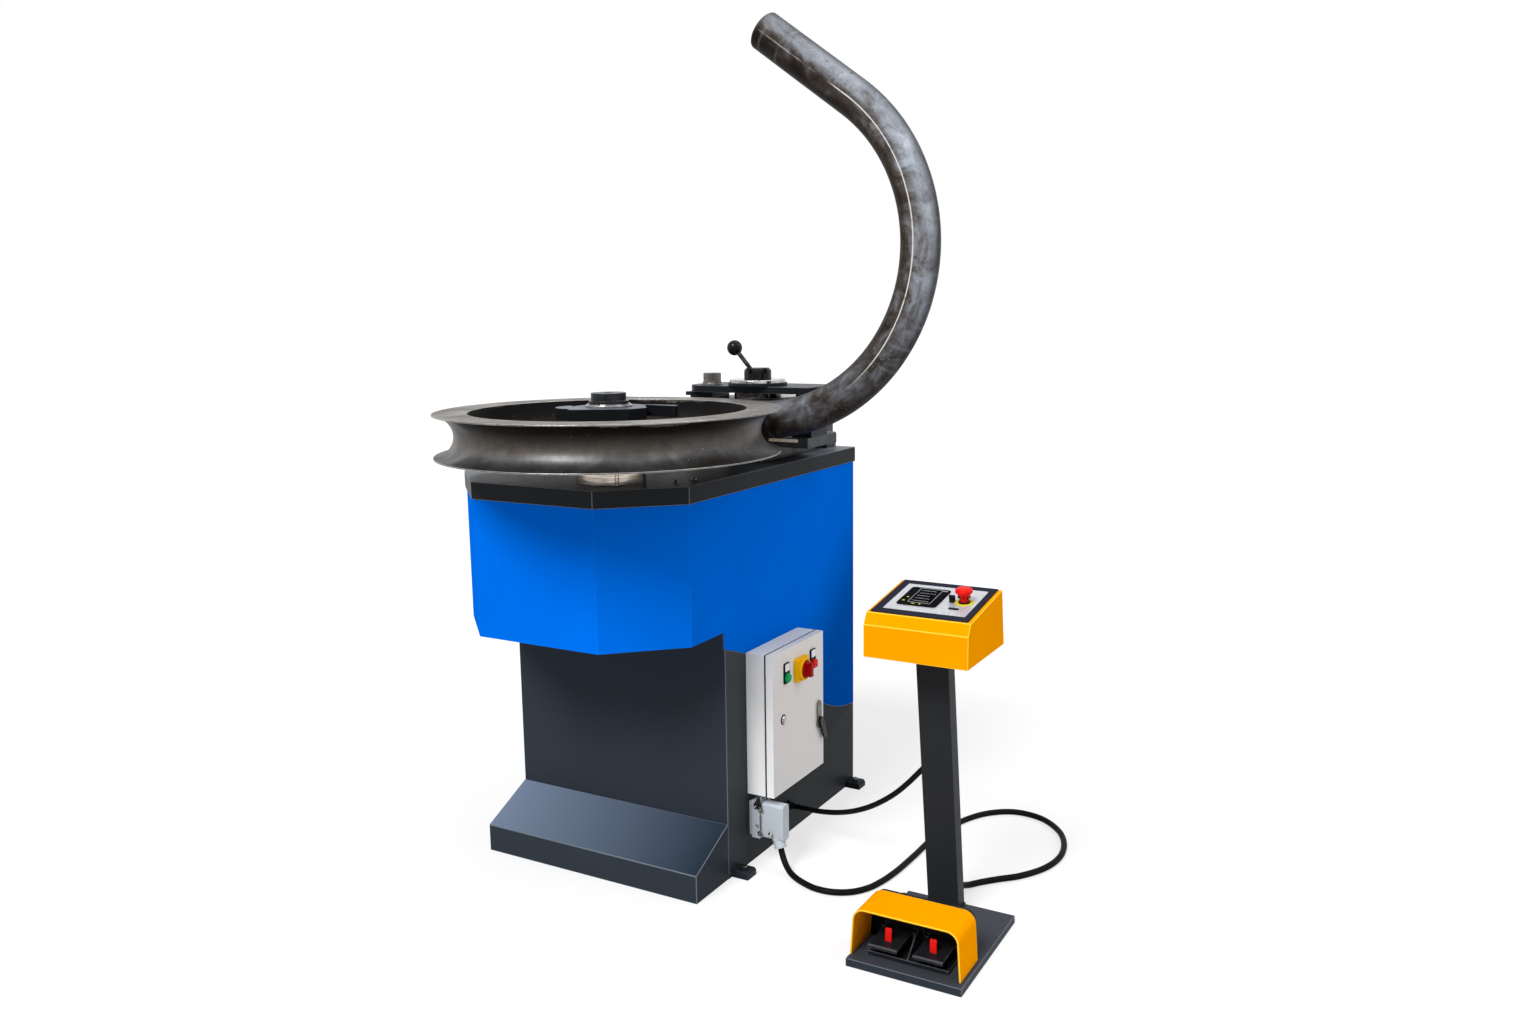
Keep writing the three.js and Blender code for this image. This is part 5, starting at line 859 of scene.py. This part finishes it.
def make_clamp():
    at = point(*ROLLER_AT, 0)
    for node in ("slide_way", "carriage_base", "bridge_post_left", "bridge_post_right", "screw_block"):
        dressed(node, 1.2)
    dressed("bridge_plate", 1.8, segments=3)
    dressed("thrust_screw", 0.4)
    dressed("bridge_bolt", 0.9, finish="bolt_steel")
    dressed("side_screw", 0.5)
    turned("bridge_bolt_ring", [(26.4, 1307.2), (33, 1307.2), (33, 1309.4), (26.4, 1309.4)],
           point(*BRIDGE_BOLT_AT, 0), Z_AXIS, "carriage", "chrome", "polished_steel", bevel=0.4, closed=True)
    turned_node("counter_roller", [
        (30.4, 1168.3), (67, 1168.3), (67, 1171), (ROLLER_RADIUS, 1171),
        *groove(ROLLER_GROOVE_CENTRE, ROLLER_RADIUS), (ROLLER_RADIUS, 1276), (67, 1276), (67, 1287.4),
        (30.4, 1287.4),
    ], at, "dark_chrome", bevel=0.6, closed=True)
    turned_node("roller_pin", [
        (0, 1162.3), (30, 1162.3), (30, 1307.3), (83.6, 1307.3), (83.6, 1314), (82, 1316), (80, 1316),
        (80, 1323), (78, 1325), (0, 1325),
    ], at, "chrome", bevel=0.4)
    turned("pin_flange_ring", [(80.3, 1307.4), (84, 1307.4), (84, 1314.4), (82.4, 1316.4), (80.3, 1316.4)],
           at, Z_AXIS, "carriage", "black_steel", "black_steel", bevel=0.3, closed=True)
    dressed("clamp_lever", 0.8, finish="glossy_black")
    turned("lever_rod_sleeve", [(5.6, 22), (6.35, 22), (6.35, 67), (5.6, 67)], ROD_START * MM,
           BALL_AT - ROD_START, "lever", "dark_chrome", "polished_steel", sides=32, closed=True)
    turns = [math.pi * i / BALL_RINGS for i in range(1, BALL_RINGS)]
    turned_node("lever_ball", [
        (0, -BALL_RADIUS), *((BALL_RADIUS * math.sin(turn), -BALL_RADIUS * math.cos(turn)) for turn in turns),
        (0, BALL_RADIUS),
    ], BALL_AT * MM, "glossy_black", sides=48)
    prism("carriage_front_strip", rounded(308, 400, 1156, 1165, 4), PROUD, 2.4, FRONTWARD,
          "carriage", "warm_strip", 0.8, point(0, -70, 0))


# Electric enclosure, its door fittings and the connector below
DOOR_FACE, CONNECTOR_FACE = 433.4, -288.1
START_AT, STOP_AT, SWITCH_AT, PLUG_AT = (-214, 528), (-58, 528), (-136, 534), (-232, 414)
LEVER_PIVOTS = ((389, 166), (387.5, 97))
SOCKET_SCREWS = ((378.5, 118, 4), (420, 101, 6.5), (372, 172, 3.5))
COG_RADII, COG_POINTS = (6, 8.5), 18


def make_push_button(name, place, square):
    """A button in a black frame with a bare silver plate above it."""
    at = point(DOOR_FACE, *place)
    frame_piece = prism(name + "_frame", rounded(-15, 15, -16, 42, 4), 0.3, 4.6, ON_DOOR, "door",
                        "black_plastic", 0, at)
    bored(frame_piece, 14.8 if square else 13.5, at, X_AXIS, -2, 8)
    bevelled(frame_piece, 0.5)
    prism(name + "_plate", rounded(-12.5, 12.5, 19, 39.5, 2), 4.7, 5.5, ON_DOOR, "door", "label_silver",
          0.25, at)
    if square:
        prism(name + "_cap", rounded(-11.4, 11.4, -11.4, 11.4, 4.5), 5.2, 13.6, ON_DOOR, body_of_node(name),
              "red_plastic", 2.2, at, 4)
        turned_node(name, [(0, -20), (11, -20), (11, 5.1), (0, 5.1)], at, "red_plastic", X_AXIS, sides=40)
    else:
        turned_node(name, [
            (0, -20), (11, -20), (11, 4.6), (13, 4.6), (13, 8.6), (12.4, 10.6), (10.6, 12.3), (7.6, 13.2),
            (4, 13.6), (0, 13.6),
        ], at, "green_plastic", X_AXIS, sides=48)


def make_enclosure():
    dressed("enclosure_body", 1.5, segments=3)
    dressed("enclosure_door", 1.7, segments=3)
    # a black seal in the door's gap, dark also as painted shade in the gap
    framed("door_seal_and_gap_shade", rounded(-288.7, 10.7, 207.0, 606.0, 2), rounded(-282.6, 4.6, 213.1, 599.9, 2),
           407.2, 411.6, ON_DOOR, "machine", "black_gap_shade")
    dressed("door_hinge_pin", 0.3)
    make_push_button("start_button", START_AT, square=False)
    make_push_button("stop_button", STOP_AT, square=True)
    dressed("main_switch_plate", 2.4, segments=4)
    dressed("main_switch_handle", 1.6, finish="dark_red", segments=3)
    turned("switch_collar", [(25.8, 13.2), (31.5, 13.2), (31, 20), (29.4, 22), (25.8, 22)],
           point(DOOR_FACE + 0.3, *SWITCH_AT), X_AXIS, "door", "yellow_plastic", "yellow_plastic",
           bevel=0.5, closed=True)
    dressed("door_plug", 0.9, finish="chrome", segments=3)
    turned("door_plug_ring", [(11.4, 0.3), (15, 0.3), (14, 2), (11.4, 2)], point(DOOR_FACE, *PLUG_AT),
           X_AXIS, "door", "dark_chrome", "polished_steel", sides=40, bevel=0.3, closed=True)
    dressed("door_handle", 0.9, finish="bolt_steel", segments=3)
    framed("door_handle_rim", rounded(-36.2, -7.8, 324.8, 410.2, 12.5),
           rounded(-33.2, -10.8, 327.8, 407.2, 10.5), 0.3, 3.0, ON_DOOR, "door", "chrome",
           point(DOOR_FACE, 0, 0), 0.6)
    dressed("door_key", 0.8, finish="glossy_black", segments=3)
    dressed("connector_socket", 1.2, segments=3)
    dressed("connector_hood", 2.2, segments=4)
    dressed("connector_lever", 0.4, finish="chrome")
    dressed("cable_gland", 0.5)
    plate_at = point(0, CONNECTOR_FACE, 0)
    # a dark strip over the seam between socket and hood: painted shade in the seam
    prism("connector_seam", rounded(387.4, 390.6, 106, 152, 1), PROUD, 0.7, FRONTWARD, "machine", "black_gap_shade",
          0.2, plate_at)
    for i, (x, z) in enumerate(LEVER_PIVOTS):
        teeth = [(COG_RADII[k % 2], 2 * math.pi * k / COG_POINTS) for k in range(COG_POINTS)]
        cog = [(x + radius * math.cos(turn), z + radius * math.sin(turn)) for radius, turn in teeth]
        prism(f"lever_cog_{i}", cog, PROUD, 2.2, FRONTWARD, "machine", "bolt_steel", 0.3,
              plate_at)
        button_screw(f"lever_screw_{i}", point(x, CONNECTOR_FACE - 2.3, z), -Y_AXIS, 3.6)
    for i, (x, z, radius) in enumerate(SOCKET_SCREWS):
        button_screw(f"socket_screw_{i}", point(x, CONNECTOR_FACE - PROUD, z), -Y_AXIS, radius)


# Console: the sloping panel's own frame starts at its front edge
PANEL_FRONT = -497
PANEL_AT = point(0, PANEL_FRONT, 818)
SLOPE_RUN, SLOPE_RISE = 216, 33
SLOPE_V = Vector((0, SLOPE_RUN, SLOPE_RISE)).normalized()
SLOPE_W = Vector((0, -SLOPE_RISE, SLOPE_RUN)).normalized()
ON_PANEL = (X_AXIS, SLOPE_V, SLOPE_W)
PANEL_TOP = 3.35
ESTOP_AT, ESTOP_SLOTS = (1005, -391), 9
GUARD_X, GUARD_LOW, GUARD_TOP, GUARD_HALF = 957, 20.6, 139, 137.5
GUARD_CORNER, GUARD_LEAN, ARCH_STEPS = 30, 6, 8


def along(y):
    """Distance up the slope of a place that is y forward or back, in millimetres."""
    return (y - PANEL_FRONT) / SLOPE_V.y


def panel_piece(name, x0, x1, y0, y1, radius, low, high, finish, bevel=0.2):
    return prism(name, rounded(x0, x1, along(y0), along(y1), radius), PANEL_TOP + low, PANEL_TOP + high,
                 ON_PANEL, "machine", finish, bevel, PANEL_AT)


def make_display():
    """A screen with plain lines and small coloured marks, and no lettering."""
    panel_piece("panel_silver", 833, 1036, -472, -310, 3, 0.1, 0.8, "silver_plate")
    panel_piece("display_block", 852, 952, -442, -331, 9, 0.9, 3.2, "display_black", 0.9)
    panel_piece("display_screen", 879, 931, -425, -340, 2, 3.3, 3.8, "screen_glass")
    framed("screen_outline", rounded(876.5, 933.5, along(-427.5), along(-337.5), 3),
           rounded(878, 932, along(-426), along(-339), 2), PANEL_TOP + 3.3, PANEL_TOP + 3.9, ON_PANEL,
           "machine", "pale_line", PANEL_AT)
    for i in range(5):
        panel_piece(f"screen_line_{i}", 883 + 2 * (i % 2), 926 - 5 * (i % 3), -417 + 16 * i, -415.4 + 16 * i,
                    0.6, 3.85, 4.1, "pale_line", 0)
    for i, (x, y, wide) in enumerate(((864, -420, 7), (866, -398, 5), (893, -433.5, 8), (910, -433.5, 5))):
        panel_piece(f"display_mark_{i}", x - wide / 2, x + wide / 2, y - 2.2, y + 2.2, 1.8, 3.3, 3.7, "lime",
                    0)
    panel_piece("display_pale_mark", 934, 946, -345, -339, 2.4, 3.3, 3.7, "pale_line", 0)
    panel_piece("panel_pill", 982, 1008, -440, -430, 4.6, 0.9, 2.6, "black_plastic", 0.6)


def make_estop():
    x, y = ESTOP_AT
    at = PANEL_AT + (X_AXIS * x + SLOPE_V * along(y)) * MM
    turned_node("estop_button", [
        (0, -15), (10, -15), (10, 12), (12, 15.3), (15.2, 26), (17.6, 28.8), (20, 30.4), (20.5, 31.8),
        (20.5, 35), (19.8, 37), (17.4, 39.2), (14, 40), (0, 40),
    ], at, "red_plastic", SLOPE_W, sides=64)
    turned("estop_collar", [(10.7, PANEL_TOP), (14.4, PANEL_TOP), (14, 8.2), (10.7, 8.2)], at, SLOPE_W,
           "machine", "black_plastic", "black_plastic", sides=48, bevel=0.4, closed=True)
    low = PANEL_TOP + 0.9
    turned("estop_ring", [(14.7, low), (23, low), (22.4, 5.4), (14.7, 5.4)], at, SLOPE_W, "machine", "lime",
           "yellow_plastic", sides=64, bevel=0.3, closed=True)
    across = SLOPE_W.orthogonal().normalized()
    # dark strips on the neck: painted shade in its slots
    for i in range(ESTOP_SLOTS):
        out = Matrix.Rotation(2 * math.pi * i / ESTOP_SLOTS, 3, SLOPE_W) @ across
        axes = (out, SLOPE_W.cross(out), SLOPE_W)
        prism(f"estop_slot_{i}", [(12.4, -0.9), (15.2, -0.9), (15.2, 0.9), (12.4, 0.9)], 16.5, 22.5, axes,
              "estop", "black_gap_shade", 0.2, at)


def guard_arch(inset):
    """The guard's outline about its middle, drawn in by some millimetres."""
    half, radius = GUARD_HALF - inset, GUARD_CORNER - inset
    centre, shoulder = half - GUARD_LEAN - radius, GUARD_TOP - inset - radius
    turns = [math.pi / 2 * i / ARCH_STEPS for i in range(ARCH_STEPS + 1)]
    left = [(-centre - radius * math.cos(turn), shoulder + radius * math.sin(turn)) for turn in turns]
    return [(-half, GUARD_LOW), *left, *((-x, z) for x, z in reversed(left)), (half, GUARD_LOW)]


def make_console():
    dressed("console_foot_plate", 1.2, finish="plate_paint", segments=3)
    dressed("console_post", 2.0, finish="post_paint", segments=3)
    dressed("console_box", 2.2, segments=3)
    dressed("control_panel", 0.8, finish="panel_blue", edged=False)
    make_display()
    make_estop()
    dressed("selector_knob", 0.4, finish="glossy_black")
    framed("post_weld", rounded(886, 976, -310.5, -261.5, 6), rounded(890.6, 971.4, -306, -266, 3), 20.1,
           24.6, (X_AXIS, Y_AXIS, Z_AXIS), "machine", "black_steel", bevel=1.8)
    dressed("pedal_bed", 0.8, finish="black_steel")
    dressed("pedal_guard", 1.5, segments=3)
    for side in ("left", "right"):
        dressed("pedal_" + side, 1.2, finish="black_steel", segments=3)
        dressed("pedal_latch_" + side, 0.6)
    # The switch's dark housing shuts the guard from behind, dark also as painted shade inside the guard
    at = point(GUARD_X, 0, 0)
    inside = guard_arch(4.6)
    prism("switch_back", inside, 494.4, 496.2, FRONTWARD, "machine", "black_steel", 0, at)
    framed("switch_skirt", inside, guard_arch(6.4), 496.2, 516, FRONTWARD, "machine", "black_steel",
           at)
    turned("bed_knob", [(0, 134.8), (7.6, 134.8), (7.6, 136), (6, 138), (3, 138.8), (0, 139)],
           point(905, -502.6, 0), Z_AXIS, "machine", "glossy_black", "black_plastic", sides=32)


# Floor, backdrop and lights. What the camera and reflections see of both is white, with the object's shadow.
FLOOR_HALF = 60
BOUNCE = 0.6
SEEN_FLOOR = 0.93
SEEN_GLOW_SHARE = 0.62
SKY = 0.36
SUNS = (  # name, where it stands, strength, spread in degrees
    ("key", (-0.12, -1.0, 1.05), 2.9, 24),
    ("fill", (1.0, 0.2, 0.75), 0.75, 40),
    ("top", (0.2, 0.1, 1.0), 0.55, 50),
)


def seen_rays(tree):
    """1 where the camera, a reflection or glass looks, 0 for the light on the object."""
    path = tree.nodes.new("ShaderNodeLightPath")
    total = path.outputs["Is Camera Ray"]
    for output in ("Is Glossy Ray", "Is Transmission Ray"):
        most = tree.nodes.new("ShaderNodeMath")
        most.operation = "MAXIMUM"
        tree.links.new(total, most.inputs[0])
        tree.links.new(path.outputs[output], most.inputs[1])
        total = most.outputs["Value"]
    return total


def make_stage():
    corners = [(x * FLOOR_HALF, y * FLOOR_HALF, 0) for x, y in ((-1, -1), (1, -1), (1, 1), (-1, 1))]
    mesh = bpy.data.meshes.new("floor")
    mesh.from_pydata(corners, [], [(0, 1, 2, 3)])
    floor = added("floor", mesh)
    material = bpy.data.materials.new("floor_white")
    material.use_nodes = True
    tree = material.node_tree
    tree.nodes.remove(tree.nodes["Principled BSDF"])

    def shader(kind, value):
        made = tree.nodes.new(kind)
        made.inputs["Color"].default_value = (value, value, value, 1)
        return made.outputs[0]

    def mixed(factor, first, second):
        made = tree.nodes.new("ShaderNodeMixShader")
        if isinstance(factor, float):
            made.inputs["Fac"].default_value = factor
        else:
            tree.links.new(factor, made.inputs["Fac"])
        tree.links.new(first, made.inputs[1])
        tree.links.new(second, made.inputs[2])
        return made.outputs["Shader"]

    plain = shader("ShaderNodeBsdfDiffuse", BOUNCE)
    pale = shader("ShaderNodeBsdfDiffuse", SEEN_FLOOR)
    shown = mixed(SEEN_GLOW_SHARE, pale, shader("ShaderNodeEmission", 1.0))
    seen = mixed(seen_rays(tree), plain, shown)
    tree.links.new(seen, tree.nodes["Material Output"].inputs["Surface"])
    mesh.materials.append(material)

    world = bpy.data.worlds.new("studio")
    bpy.context.scene.world = world
    world.use_nodes = True
    tree = world.node_tree
    light = tree.nodes["Background"]
    light.inputs["Color"].default_value = (1, 1, 1, 1)
    light.inputs["Strength"].default_value = SKY
    seen = mixed(seen_rays(tree), light.outputs[0], shader("ShaderNodeBackground", 1.0))
    tree.links.new(seen, tree.nodes["World Output"].inputs["Surface"])

    for name, towards, strength, spread in SUNS:
        data = bpy.data.lights.new(name, "SUN")
        data.energy = strength
        data.angle = math.radians(spread)
        lamp = added(name, data)
        lamp.matrix_world = Matrix.Translation(Vector(towards) * 4) @ rotation_to(towards)


make_cabinet()
make_former()
make_pipe()
make_clamp()
make_enclosure()
make_console()
make_stage()

bpy.context.scene.view_settings.view_transform = "Standard"
